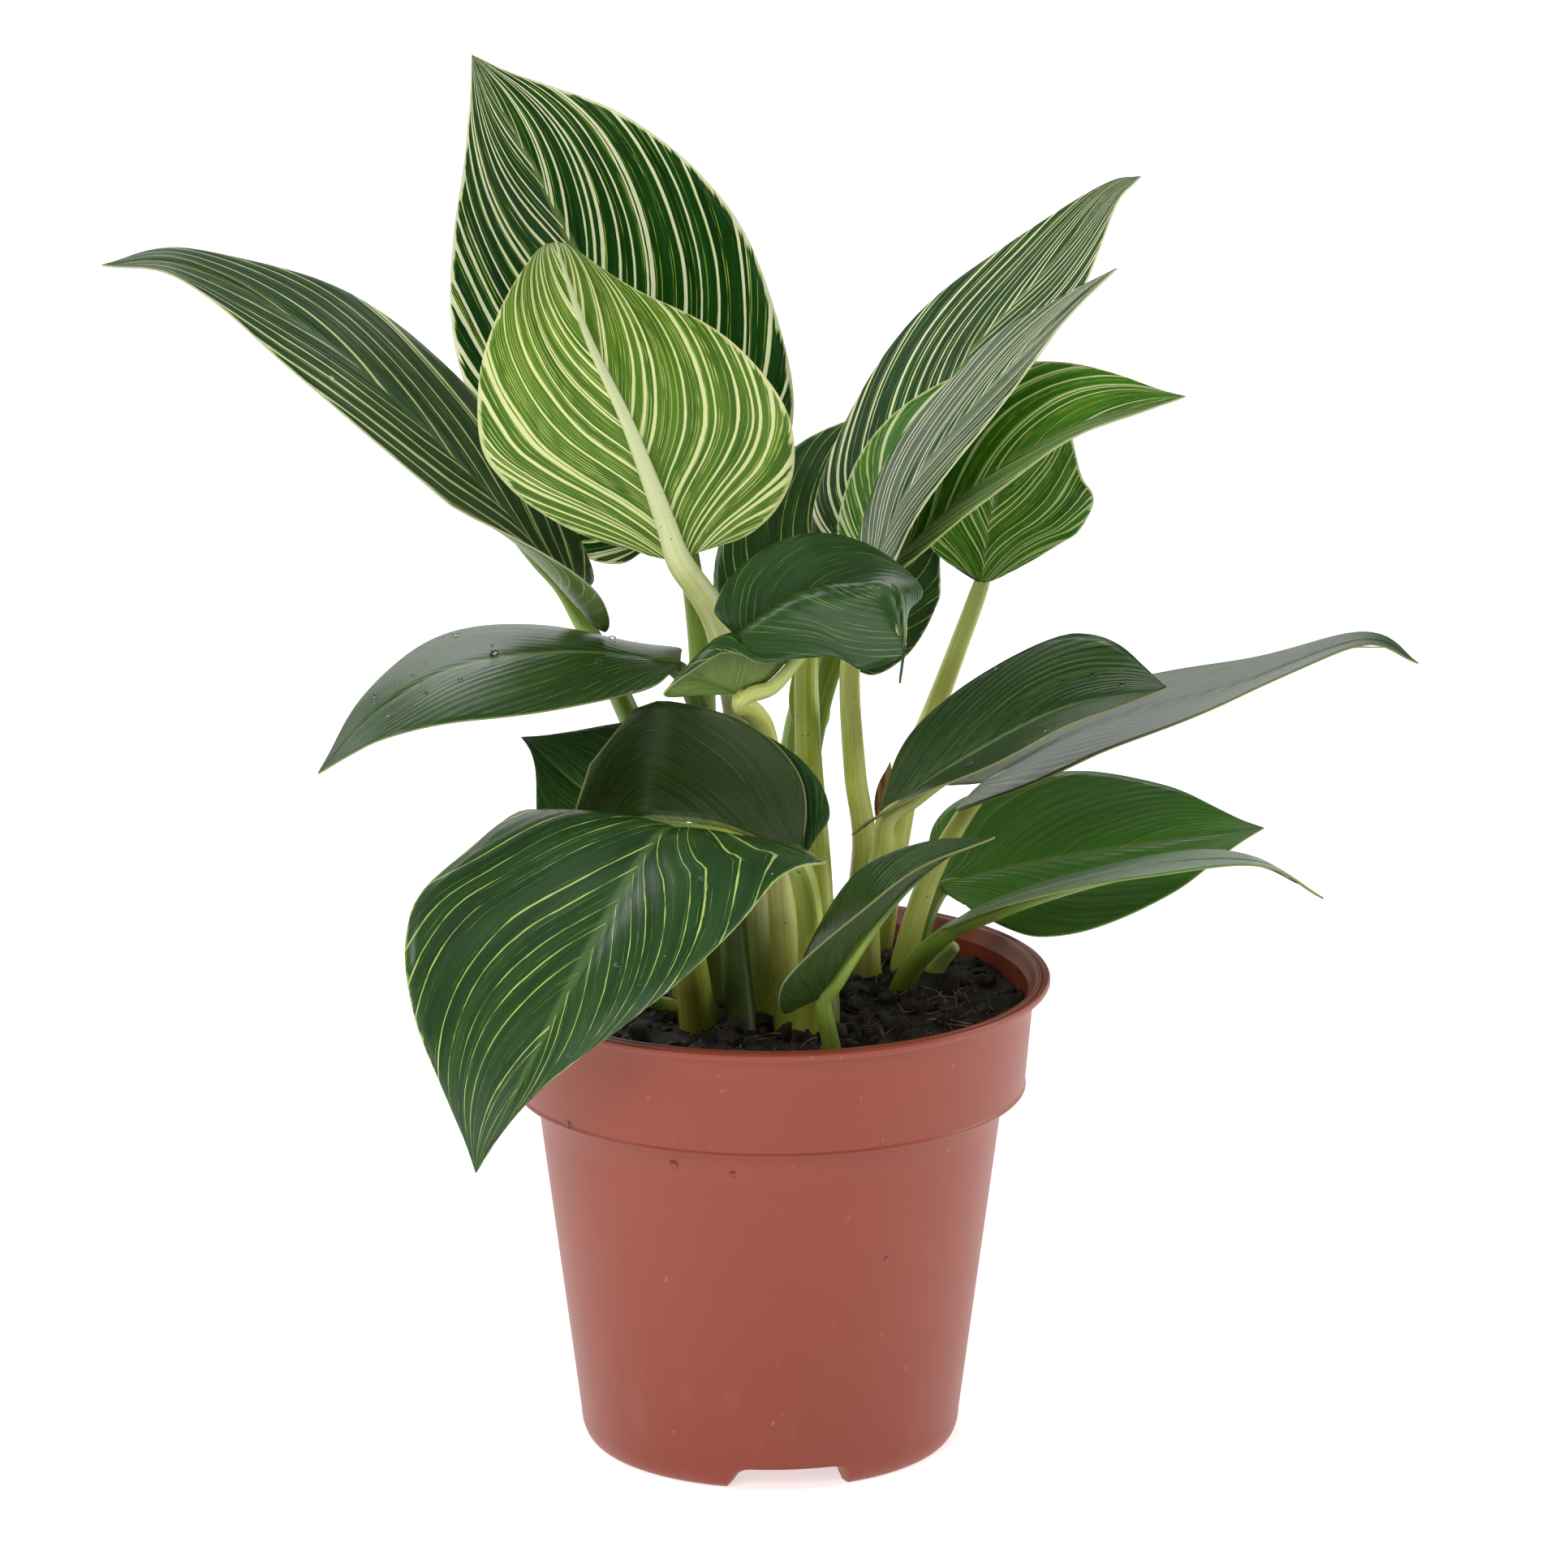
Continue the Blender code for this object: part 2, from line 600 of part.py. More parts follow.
def add_soil(parent, cutters):
    """Add the root ball, which fills the pot, with a pocket for every stalk that grows out of it."""
    inner_body = body_radius(COLLAR_BOTTOM - 2.0) - WALL - CLEARANCE
    inner_floor = body_radius(FLOOR_TOP + 1.5) - WALL - CLEARANCE
    ledge = COLLAR_BOTTOM + WALL + CLEARANCE
    top_edge = 84.0
    profile = [
        (0.0, FLOOR_TOP + CLEARANCE),
        (inner_floor - 2.2, FLOOR_TOP + CLEARANCE),
        (inner_floor - 0.2, FLOOR_TOP + 2.2),
        (inner_body - 0.2, COLLAR_BOTTOM - 2.0),
        (inner_body - 0.2, ledge + 0.4),
        (COLLAR_BOTTOM_RADIUS - WALL - CLEARANCE - 1.6, ledge + 0.4),
        (COLLAR_BOTTOM_RADIUS - WALL - CLEARANCE, top_edge),
        (SOIL_EDGE_RADIUS, SOIL_LEVEL),
        (48.0, SOIL_LEVEL),
        (41.0, SOIL_LEVEL),
        (34.0, SOIL_LEVEL),
        (27.0, SOIL_LEVEL),
        (20.0, SOIL_LEVEL),
        (12.0, SOIL_LEVEL),
        (0.0, SOIL_LEVEL),
    ]
    bm = spin_profile(profile, POT_SEGMENTS // 2)
    for vert in bm.verts:
        if vert.co.z > SOIL_LEVEL - 1:
            vert.co.z = soil_height(vert.co.x, vert.co.y)
    bmesh.ops.recalc_face_normals(bm, faces=bm.faces)
    soil = add_object("soil", bm, "soil", parent)
    for tool in cutters:
        cut(soil, tool)


# --------------------------------------------------------------------------------------------- assembly


def add_leaf(leaf, parent):
    """Add a leaf's blade and stalk, and return the cutter of the stalk's pocket in the soil."""
    bm = sheet_mesh(leaf.midrib, leaf.faces, leaf.left, leaf.right, BLADE_ROWS, leaf.columns)
    add_sheet(leaf.name + "_blade", bm, BLADE_THICKNESS, leaf.material, parent)
    points = stalk_points(leaf)
    add_object(leaf.name + "_stalk", stalk_mesh(points, leaf.stalk_radii), "stalk", parent)
    return pocket_cutter(leaf.name, points, leaf.stalk_radii, parent)


def pocket_cutter(name, points, radii, parent):
    """Return the cutter for a stalk's pocket: the stalk itself, grown by the clearance all round."""
    deeper = points[0] - Vector((0, 0, CLEARANCE))
    return cutter(name + "_pocket", stalk_mesh((deeper, *points[1:]), radii, CLEARANCE), parent)


def build():
    """Build the whole potted plant."""
    for old in list(bpy.data.objects):
        bpy.data.objects.remove(old, do_unlink=True)
    origin = bpy.data.objects.new("potted_philodendron", None)
    bpy.context.scene.collection.objects.link(origin)
    pockets = [add_leaf(leaf, origin) for leaf in LEAVES]
    for name, points, radii, material in STUBS:
        add_object(name, stalk_mesh(rooted(points), radii), material, origin)
        pockets.append(pocket_cutter(name, rooted(points), radii, origin))
    for name, midrib, face, half, material in SHEATHS:
        sheet = sheet_mesh(midrib, (face, face), half, half, 6, 4)
        add_sheet(name, sheet, SHEATH_THICKNESS, material, origin)
    add_pot(origin)
    add_soil(origin, pockets)


build()
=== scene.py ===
"""Potted philodendron: the finished look of the plant, its soil and its nursery pot.

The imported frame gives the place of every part; each part is rebuilt here in finer mesh with its
surface detail.  Sizes in this file are millimetres and become metres when a mesh is finished.  The
pot stands on z = 0 with its axis on the Z axis, and the front of the plant faces -Y.
"""

from __future__ import annotations

import logging
from dataclasses import dataclass, field, replace
from enum import Enum
from math import cos, exp, pi, radians, sin
from random import Random
from typing import Sequence, Union

import bmesh
import bpy
import numpy as np
from mathutils import Matrix, Vector, noise

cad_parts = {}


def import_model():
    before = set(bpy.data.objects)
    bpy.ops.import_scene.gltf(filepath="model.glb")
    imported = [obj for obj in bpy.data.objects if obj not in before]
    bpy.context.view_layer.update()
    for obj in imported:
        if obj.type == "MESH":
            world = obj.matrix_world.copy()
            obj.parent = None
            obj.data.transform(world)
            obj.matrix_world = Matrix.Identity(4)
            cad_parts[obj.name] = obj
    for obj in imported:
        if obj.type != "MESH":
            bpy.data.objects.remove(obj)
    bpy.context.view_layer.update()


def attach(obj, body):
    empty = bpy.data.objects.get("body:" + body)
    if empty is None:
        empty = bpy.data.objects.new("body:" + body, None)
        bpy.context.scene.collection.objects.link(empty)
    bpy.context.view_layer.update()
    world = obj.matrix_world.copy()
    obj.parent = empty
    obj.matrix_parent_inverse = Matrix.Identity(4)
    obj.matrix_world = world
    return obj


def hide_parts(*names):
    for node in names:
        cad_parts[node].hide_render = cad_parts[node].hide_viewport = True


LOG = logging.getLogger("potted_philodendron")
MM = 0.001
BODY = "root"
LEAF_MAP = "leaf"

Colour = tuple[float, float, float]
Point = tuple[float, float, float]
Socket = bpy.types.NodeSocket
Value = Union[Socket, float, Colour]


class Slot(Enum):
    """The record's material slots that a piece may take its finish from."""

    POT = "pot_plastic"
    SOIL = "soil"
    STRIPED = "striped_leaf"
    GREEN = "green_leaf"
    PALE = "pale_leaf"
    STALK = "stalk"
    SHEATH = "dry_sheath"


# ------------------------------------------------------------------------------------- shader graphs


class Graph:
    """A node tree under construction, with a short method for each kind of node used here."""

    def __init__(self, tree: bpy.types.NodeTree) -> None:
        """Start on a material's or a group's node tree."""
        self.tree = tree

    def node(self, kind: str, **settings: object) -> bpy.types.Node:
        """Add a node.

        Args:
            kind: the node's type name after "ShaderNode".
            **settings: properties to set on it.

        Returns:
            The new node.
        """
        made = self.tree.nodes.new("ShaderNode" + kind)
        for name, value in settings.items():
            setattr(made, name, value)
        return made

    def feed(self, socket: Socket, value: Value) -> None:
        """Link a socket to another one, or set its plain value.

        Args:
            socket: the input.
            value: an output socket, a number, or a colour.
        """
        if isinstance(value, bpy.types.NodeSocket):
            self.tree.links.new(value, socket)
        elif isinstance(value, tuple) and socket.type == "RGBA":
            socket.default_value = (*value, 1.0)
        else:
            socket.default_value = value

    def math(self, operation: str, a: Value, b: Value = 0.0, clamp: bool = False) -> Socket:
        """Add a math node.

        Args:
            operation: what it does with its two values.
            a: the first value.
            b: the second value.
            clamp: whether the result is held between 0 and 1.

        Returns:
            The result.
        """
        made = self.node("Math", operation=operation, use_clamp=clamp)
        self.feed(made.inputs[0], a)
        self.feed(made.inputs[1], b)
        return made.outputs[0]

    def plus(self, a: Value, b: Value) -> Socket:
        """Return the sum of two values."""
        return self.math("ADD", a, b)

    def minus(self, a: Value, b: Value) -> Socket:
        """Return the first value less the second."""
        return self.math("SUBTRACT", a, b)

    def times(self, a: Value, b: Value) -> Socket:
        """Return the product of two values."""
        return self.math("MULTIPLY", a, b)

    def vector(self, x: Value, y: Value, z: Value = 0.0) -> Socket:
        """Join three values.

        Args:
            x: the first part.
            y: the second part.
            z: the third part.

        Returns:
            The vector.
        """
        made = self.node("CombineXYZ")
        for socket, value in zip(made.inputs, (x, y, z)):
            self.feed(socket, value)
        return made.outputs[0]

    def parts(self, vector: Socket) -> tuple[Socket, Socket, Socket]:
        """Split a vector.

        Args:
            vector: the vector.

        Returns:
            Its three parts.
        """
        made = self.node("SeparateXYZ")
        self.feed(made.inputs[0], vector)
        return made.outputs[0], made.outputs[1], made.outputs[2]

    def own_place(self) -> Socket:
        """Return the place on the piece, in metres from the object's origin."""
        return self.node("TexCoord").outputs["Object"]

    def stretched(self, vector: Socket, scale: Point) -> Socket:
        """Scale a vector.

        Args:
            vector: the vector.
            scale: the scale along each axis.

        Returns:
            The scaled vector.
        """
        made = self.node("Mapping")
        made.inputs["Scale"].default_value = scale
        self.feed(made.inputs["Vector"], vector)
        return made.outputs[0]

    def grain(self, vector: Value, scale: float = 1.0, detail: float = 2.0, rough: float = 0.5) -> Socket:
        """Add a noise.

        Args:
            vector: where it is read.
            scale: how many lumps there are to a unit.
            detail: how many finer layers it has.
            rough: how strong the finer layers are.

        Returns:
            Its value, from 0 to 1.
        """
        made = self.node("TexNoise")
        self.feed(made.inputs["Vector"], vector)
        made.inputs["Scale"].default_value = scale
        made.inputs["Detail"].default_value = detail
        made.inputs["Roughness"].default_value = rough
        return made.outputs["Fac"]

    def step(self, value: Value, low: Value, high: Value) -> Socket:
        """Add a smooth step.

        Args:
            value: the value.
            low: where the step is 0.
            high: where the step is 1, which may be below low.

        Returns:
            The step, from 0 to 1.
        """
        made = self.node("MapRange", interpolation_type="SMOOTHSTEP")
        self.feed(made.inputs["Value"], value)
        self.feed(made.inputs["From Min"], low)
        self.feed(made.inputs["From Max"], high)
        return made.outputs["Result"]

    def mix(self, share: Value, a: Value, b: Value) -> Socket:
        """Mix two colours.

        Args:
            share: the second colour's share.
            a: the first colour.
            b: the second colour.

        Returns:
            The mixed colour.
        """
        made = self.node("Mix", data_type="RGBA")
        self.feed(made.inputs["Factor"], share)
        self.feed(made.inputs["A"], a)
        self.feed(made.inputs["B"], b)
        return made.outputs["Result"]

    def between(self, share: Value, a: float, b: float) -> Socket:
        """Spread a share over a range.

        Args:
            share: the share, from 0 to 1.
            a: the number at 0.
            b: the number at 1.

        Returns:
            The number.
        """
        made = self.node("MapRange")
        self.feed(made.inputs["Value"], share)
        made.inputs["To Min"].default_value = a
        made.inputs["To Max"].default_value = b
        return made.outputs["Result"]

    def bump(self, height: Value, distance: float) -> Socket:
        """Raise the surface.

        Args:
            height: how far, as a share of the distance.
            distance: the distance in metres.

        Returns:
            The tilted normal.
        """
        made = self.node("Bump")
        self.feed(made.inputs["Height"], height)
        made.inputs["Distance"].default_value = distance
        return made.outputs["Normal"]


def new_material(name: str) -> tuple[bpy.types.Material, Graph, bpy.types.Node]:
    """Start a material.

    Args:
        name: its name.

    Returns:
        The material, its graph and its Principled shader.
    """
    material = bpy.data.materials.new(name)
    material.use_nodes = True
    graph = Graph(material.node_tree)
    return material, graph, material.node_tree.nodes["Principled BSDF"]


def new_group(
    name: str, inputs: Sequence[str], outputs: Sequence[str]
) -> tuple[bpy.types.NodeTree, Graph, dict[str, Socket], dict[str, Socket]]:
    """Start a shader node group of plain number sockets.

    Args:
        name: the group's name.
        inputs: the names of its inputs.
        outputs: the names of its outputs.

    Returns:
        The tree, its graph, its inner inputs by name and its inner outputs by name.
    """
    tree = bpy.data.node_groups.new(name, "ShaderNodeTree")
    for label in inputs:
        tree.interface.new_socket(label, in_out="INPUT", socket_type="NodeSocketFloat")
    for label in outputs:
        tree.interface.new_socket(label, in_out="OUTPUT", socket_type="NodeSocketFloat")
    entry = tree.nodes.new("NodeGroupInput")
    leaving = tree.nodes.new("NodeGroupOutput")
    return tree, Graph(tree), dict(entry.outputs.items()), dict(leaving.inputs.items())


@dataclass(frozen=True)
class VeinPattern:
    """The pattern of lines along the veins, drawn by one node group that all the blades share.

    It reads the blade's own map: u numbers the veins from base to tip, and v runs from one margin
    over the midrib to the other. A noise is given as (lumps along u, lumps from midrib to margin).
    """

    name: str = "leaf_stripes"
    side_shift: float = 3.7
    wander: float = 0.05
    wander_noise: tuple = (5.0, 1.6)
    fibre_noise: tuple = (240.0, 9.0)
    fibre_fray: float = 0.14
    narrowest: float = 0.35
    soft_edge: tuple = (0.025, 0.035)
    main_gap_noise: tuple = (0.2, 3.0)
    fine_gap_noise: tuple = (0.14, 9.0)
    margin_noise: tuple = (60.0, 2.0)
    margin_fray: float = 0.12
    margin_fibres: float = 0.10
    margin_softness: float = 0.035
    tint_noise: tuple = (26.0, 2.0)
    tint_fibres: float = 0.6
    midrib_edges: tuple = (0.045, 0.012)
    rib_waves: float = 190.0

    def lines(
        self, g: Graph, place: Socket, count: Socket, width: Socket, fibre: Socket, whole: Socket
    ) -> Socket:
        """Draw lines along the veins, each of its own width.

        Args:
            g: the graph to add to.
            place: the vein number, shifted for the leaf and the side.
            count: how many lines there are from the base to the tip.
            width: the widest line's half width, as a share of the space between lines.
            fibre: fine noise that frays a line's edge.
            whole: 1 where a line is whole and 0 where it is broken.

        Returns:
            A mask that is 1 on a line.
        """
        cells = g.node("TexVoronoi", voronoi_dimensions="1D", feature="F1")
        g.feed(cells.inputs["W"], g.times(place, count))
        cells.inputs["Scale"].default_value = 1.0
        chance = g.node("SeparateColor")
        g.feed(chance.inputs[0], cells.outputs["Color"])
        own_width = g.between(chance.outputs["Red"], self.narrowest, 1.0)
        present = g.step(chance.outputs["Green"], 0.1, 0.25)
        half = g.times(g.times(own_width, present), g.times(width, whole))
        frayed = g.plus(cells.outputs["Distance"], g.times(fibre, self.fibre_fray))
        outer, inner = self.soft_edge
        return g.step(frayed, g.plus(half, outer), g.minus(half, inner))

    def group(self) -> bpy.types.NodeTree:
        """Make the node group at its first use.

        Returns:
            The group.
        """
        known = bpy.data.node_groups.get(self.name)
        if known:
            return known
        tree, g, into, out = new_group(
            self.name,
            (
                "Main Lines", "Main Width", "Main Broken", "Fine Lines", "Fine Width", "Broken", "Margin",
                "Seed",
            ),
            ("Line", "Thin Line", "Tint", "Midrib", "Relief"),
        )
        vein, across, _ = g.parts(g.node("UVMap", uv_map=LEAF_MAP).outputs["UV"])
        reach = g.math("ABSOLUTE", g.minus(g.times(across, 2.0), 1.0))
        side = g.times(g.math("GREATER_THAN", across, 0.5), self.side_shift)
        shift = g.plus(side, into["Seed"])

        def streaks(lumps: tuple, detail: float, rough: float = 0.5) -> Socket:
            """Return noise drawn out along the veins."""
            where = g.vector(g.times(vein, lumps[0]), g.times(reach, lumps[1]), shift)
            return g.grain(where, detail=detail, rough=rough)

        wander = g.times(g.minus(streaks(self.wander_noise, 1.0), 0.5), self.wander)
        fibre = g.minus(streaks(self.fibre_noise, 2.0, 0.7), 0.5)
        along_gap, across_gap = self.fine_gap_noise
        whole = g.step(streaks((g.times(into["Fine Lines"], along_gap), across_gap), 1.0), 0.36, 0.56)
        fine_kept = g.minus(1.0, g.times(g.minus(1.0, whole), into["Broken"]))
        along_gap, across_gap = self.main_gap_noise
        gap = g.step(streaks((g.times(into["Main Lines"], along_gap), across_gap), 1.0), 0.58, 0.42)
        main_kept = g.minus(1.0, g.times(gap, into["Main Broken"]))
        start = g.plus(g.plus(vein, wander), shift)
        main = self.lines(g, start, into["Main Lines"], into["Main Width"], fibre, main_kept)
        fine = self.lines(g, start, into["Fine Lines"], into["Fine Width"], fibre, fine_kept)
        comb = g.minus(streaks(self.margin_noise, 2.0), 0.5)
        uneven = g.plus(g.times(fibre, self.margin_fibres), g.times(comb, self.margin_fray))
        ragged = g.plus(reach, g.times(uneven, g.step(into["Margin"], 0.0, 0.05)))
        inner = g.minus(1.0, into["Margin"])
        margin = g.step(ragged, inner, g.plus(inner, self.margin_softness))
        g.feed(out["Line"], g.math("MAXIMUM", main, margin))
        g.feed(out["Thin Line"], fine)
        soft = streaks(self.tint_noise, 3.0)
        g.feed(out["Tint"], g.math("ADD", soft, g.times(fibre, self.tint_fibres), clamp=True))
        g.feed(out["Midrib"], g.step(reach, *self.midrib_edges))
        ribs = g.math("SINE", g.times(g.plus(vein, wander), self.rib_waves))
        g.feed(out["Relief"], g.plus(g.times(ribs, 0.5), g.times(fibre, 0.8)))
        return tree


@dataclass(frozen=True)
class Stripes:
    """How one face of a leaf is coloured.

    ground and shade are the greens between the lines, line the main lines' colour, and edge the
    colour of the thin lines and of a main line's fading sides. Lines are counted from the base to
    the tip, widths are shares of the space between them, and margin is a share of the blade's side.
    """

    ground: Colour
    shade: Colour
    line: Colour
    edge: Colour
    main_lines: float
    main_width: float
    fine_lines: float
    fine_width: float
    margin: float
    main_broken: float = 0.0
    broken: float = 0.8
    roughness: float = 0.30
    gloss: float = 0.5
    midrib: Colour = (0.13, 0.22, 0.06)
    relief: float = 0.00004

    def material(self, name: str, seed: float) -> bpy.types.Material:
        """Make the material of this face.

        Args:
            name: the material's name.
            seed: a number of its own for each leaf.

        Returns:
            The material.
        """
        made, g, shader = new_material(name)
        stripes = g.node("Group", node_tree=VeinPattern().group())
        values = (
            self.main_lines, self.main_width, self.main_broken, self.fine_lines, self.fine_width,
            self.broken, self.margin, seed,
        )
        for socket, value in zip(stripes.inputs, values):
            socket.default_value = value
        line, tint = stripes.outputs["Line"], stripes.outputs["Tint"]
        green = g.mix(g.step(tint, 0.25, 0.75), self.ground, self.shade)
        veined = g.mix(g.step(stripes.outputs["Midrib"], 0.0, 1.0), green, self.midrib)
        thin = g.mix(g.step(stripes.outputs["Thin Line"], 0.1, 0.8), veined, self.edge)
        fading = g.mix(g.step(line, 0.0, 0.35), thin, self.edge)
        g.feed(shader.inputs["Base Color"], g.mix(g.step(line, 0.2, 0.7), fading, self.line))
        g.feed(shader.inputs["Roughness"], g.between(tint, self.roughness - 0.06, self.roughness + 0.08))
        shader.inputs["Specular IOR Level"].default_value = self.gloss
        g.feed(shader.inputs["Normal"], g.bump(stripes.outputs["Relief"], self.relief))
        return made


# ------------------------------------------------------------------------------------------- finishes

CREAM: Colour = (0.92, 0.94, 0.60)
PALE_EDGE: Colour = (0.50, 0.52, 0.28)

UNDERSIDE = Stripes(
    ground=(0.017, 0.038, 0.005), shade=(0.030, 0.060, 0.009), line=(0.08, 0.13, 0.02),
    edge=(0.05, 0.09, 0.014), main_lines=45, main_width=0.05, main_broken=0.5, fine_lines=150,
    fine_width=0.03, margin=0.012, roughness=0.45, midrib=(0.30, 0.40, 0.14),
)
PLAIN_FACE = Stripes(
    ground=(0.014, 0.050, 0.008), shade=(0.026, 0.082, 0.013), line=(0.28, 0.40, 0.07),
    edge=(0.10, 0.20, 0.025), main_lines=40, main_width=0.035, main_broken=1.0, fine_lines=130,
    fine_width=0.0, margin=0.012,
)
BOLD_FACE = Stripes(
    ground=(0.004, 0.034, 0.003), shade=(0.013, 0.075, 0.006), line=CREAM, edge=(0.30, 0.48, 0.05),
    main_lines=32.5, main_width=0.18, fine_lines=65, fine_width=0.10, margin=0.015, gloss=0.25,
)
FINE_FACE = Stripes(
    ground=(0.010, 0.042, 0.007), shade=(0.022, 0.076, 0.012), line=(0.50, 0.62, 0.16),
    edge=(0.16, 0.28, 0.035), main_lines=22.5, main_width=0.045, main_broken=0.6, fine_lines=35,
    fine_width=0.015, margin=0.02, midrib=(0.06, 0.13, 0.03),
)


@dataclass(frozen=True)
class LeafFinish:
    """The stripes of a leaf's upper face and underside, and the colour of its cut edge."""

    upper: Stripes
    under: Stripes
    edge: Colour


class LeafLook(Enum):
    """The ways a leaf is marked; in SUNLIT and the backlit bright look the greens are lightened, painted
    light shining through the blade.
    """

    BOLD = LeafFinish(
        BOLD_FACE,
        replace(BOLD_FACE, ground=(0.16, 0.25, 0.06), shade=(0.24, 0.34, 0.10), roughness=0.5),
        (0.70, 0.70, 0.46),
    )
    CREAMY = LeafFinish(
        BOLD_FACE,
        Stripes(
            ground=(0.040, 0.110, 0.005), shade=(0.105, 0.215, 0.013), line=(0.70, 0.74, 0.34),
            edge=(0.36, 0.47, 0.10), main_lines=32.5, main_width=0.22, fine_lines=110, fine_width=0.18,
            margin=0.04, roughness=0.5, gloss=0.25, midrib=(0.60, 0.66, 0.36),
        ),
        (0.55, 0.42, 0.26),
    )
    PINSTRIPED = LeafFinish(FINE_FACE, UNDERSIDE, (0.42, 0.46, 0.16))
    SUNLIT = LeafFinish(
        replace(
            BOLD_FACE, ground=(0.026, 0.115, 0.006), shade=(0.070, 0.235, 0.012), line=(0.66, 0.74, 0.38),
            main_lines=35, main_width=0.20, fine_lines=70, fine_width=0.12, margin=0.03,
        ),
        UNDERSIDE,
        PALE_EDGE,
    )
    PALE_SHEEN_BACKED = LeafFinish(
        replace(
            FINE_FACE, main_lines=15, main_width=0.12, fine_lines=25, fine_width=0.05,
            line=(0.72, 0.80, 0.38), edge=(0.20, 0.34, 0.04), main_broken=0.3,
        ),
        # underside paler green: partly its own colour, partly painted sheen
        replace(UNDERSIDE, ground=(0.10, 0.17, 0.04), shade=(0.20, 0.29, 0.09), line=(0.42, 0.50, 0.22)),
        PALE_EDGE,
    )
    PLAIN = LeafFinish(PLAIN_FACE, UNDERSIDE, (0.24, 0.26, 0.08))
    PALE_BACKED = LeafFinish(
        PLAIN_FACE,
        replace(
            UNDERSIDE, ground=(0.095, 0.165, 0.020), shade=(0.150, 0.235, 0.040), line=(0.28, 0.38, 0.09)
        ),
        (0.40, 0.46, 0.14),
    )
    # painted light: greens lighter than the leaf's own, standing in for light shining through the blade
    PAINTED_BACKLIGHT = LeafFinish(
        replace(PLAIN_FACE, ground=(0.046, 0.155, 0.016), shade=(0.068, 0.200, 0.026)),
        UNDERSIDE,
        (0.24, 0.30, 0.08),
    )


@dataclass(frozen=True)
class StalkSkin:
    """The smooth skin of a stalk, streaked along its length and darker or paler at the foot.

    foot_end, ridge_start and ridge_end are shares of the length, and scales are lumps to a metre.
    """

    name: str
    body: Colour
    streak: Colour
    foot: Colour
    ridge: Colour
    speck: Colour = (0.05, 0.04, 0.01)
    roughness: float = 0.42
    streaks_along: float = 5.0
    streaks_around: float = 22.0
    streak_height: float = 0.00012
    cloud_scale: float = 60.0
    speck_scale: float = 900.0
    foot_end: float = 0.22
    ridge_start: float = 0.50
    ridge_end: float = 0.72

    def material(self) -> bpy.types.Material:
        """Make the material at its first use.

        Returns:
            The material.
        """
        known = bpy.data.materials.get(self.name)
        if known:
            return known
        made, g, shader = new_material(self.name)
        length, around, _ = g.parts(g.node("UVMap", uv_map=LEAF_MAP).outputs["UV"])
        drawn = g.vector(g.times(length, self.streaks_along), g.times(around, self.streaks_around))
        streaks = g.grain(drawn, detail=3.0)
        own = g.own_place()
        clouds = g.grain(own, scale=self.cloud_scale, detail=3.0)
        colour = g.mix(g.step(streaks, 0.35, 0.68), self.body, self.streak)
        colour = g.mix(g.times(g.step(clouds, 0.45, 0.75), 0.5), colour, self.foot)
        colour = g.mix(g.step(length, self.foot_end, 0.0), colour, self.foot)
        colour = g.mix(g.step(length, self.ridge_start, self.ridge_end), colour, self.ridge)
        specks = g.step(g.grain(own, scale=self.speck_scale, detail=1.0), 0.74, 0.78)
        g.feed(shader.inputs["Base Color"], g.mix(g.times(specks, 0.7), colour, self.speck))
        g.feed(shader.inputs["Roughness"], g.between(clouds, self.roughness - 0.08, self.roughness + 0.08))
        g.feed(shader.inputs["Normal"], g.bump(streaks, self.streak_height))
        return made


class StalkTone(Enum):
    """The stalks' colours, from young and pale to old and dark."""

    YELLOW = StalkSkin(
        "yellow_green_stalk", (0.42, 0.50, 0.06), (0.60, 0.66, 0.14), (0.25, 0.29, 0.017), (0.22, 0.32, 0.06)
    )
    WHITE = StalkSkin(
        "white_ribbed_stalk", (0.66, 0.70, 0.24), (0.80, 0.82, 0.50), (0.30, 0.35, 0.025), (0.58, 0.64, 0.34)
    )
    GREEN = StalkSkin(
        "green_stalk", (0.16, 0.26, 0.030), (0.27, 0.38, 0.055), (0.16, 0.22, 0.018), (0.08, 0.14, 0.03)
    )
    PALE = StalkSkin(
        "pale_stalk", (0.62, 0.66, 0.13), (0.78, 0.80, 0.30), (0.32, 0.36, 0.035), (0.42, 0.52, 0.16)
    )
    DARK = StalkSkin(
        "dark_green_stalk", (0.055, 0.110, 0.012), (0.10, 0.17, 0.02), (0.075, 0.125, 0.012),
        (0.06, 0.11, 0.022),
    )


@dataclass(frozen=True)
class DrySheath:
    """The papery brown of a withered sheath, with fibres along its height."""

    dark: Colour = (0.16, 0.08, 0.03)
    light: Colour = (0.40, 0.24, 0.09)
    fibre_scale: Point = (1500.0, 1500.0, 120.0)
    fibre_height: float = 0.0001

    def material(self) -> bpy.types.Material:
        """Make the material.

        Returns:
            The material.
        """
        made, g, shader = new_material("dry_papery_sheath")
        fibres = g.grain(g.stretched(g.own_place(), self.fibre_scale), detail=3.0)
        g.feed(shader.inputs["Base Color"], g.mix(g.step(fibres, 0.35, 0.7), self.dark, self.light))
        g.feed(shader.inputs["Roughness"], g.between(fibres, 0.7, 0.9))
        g.feed(shader.inputs["Normal"], g.bump(fibres, self.fibre_height))
        return made


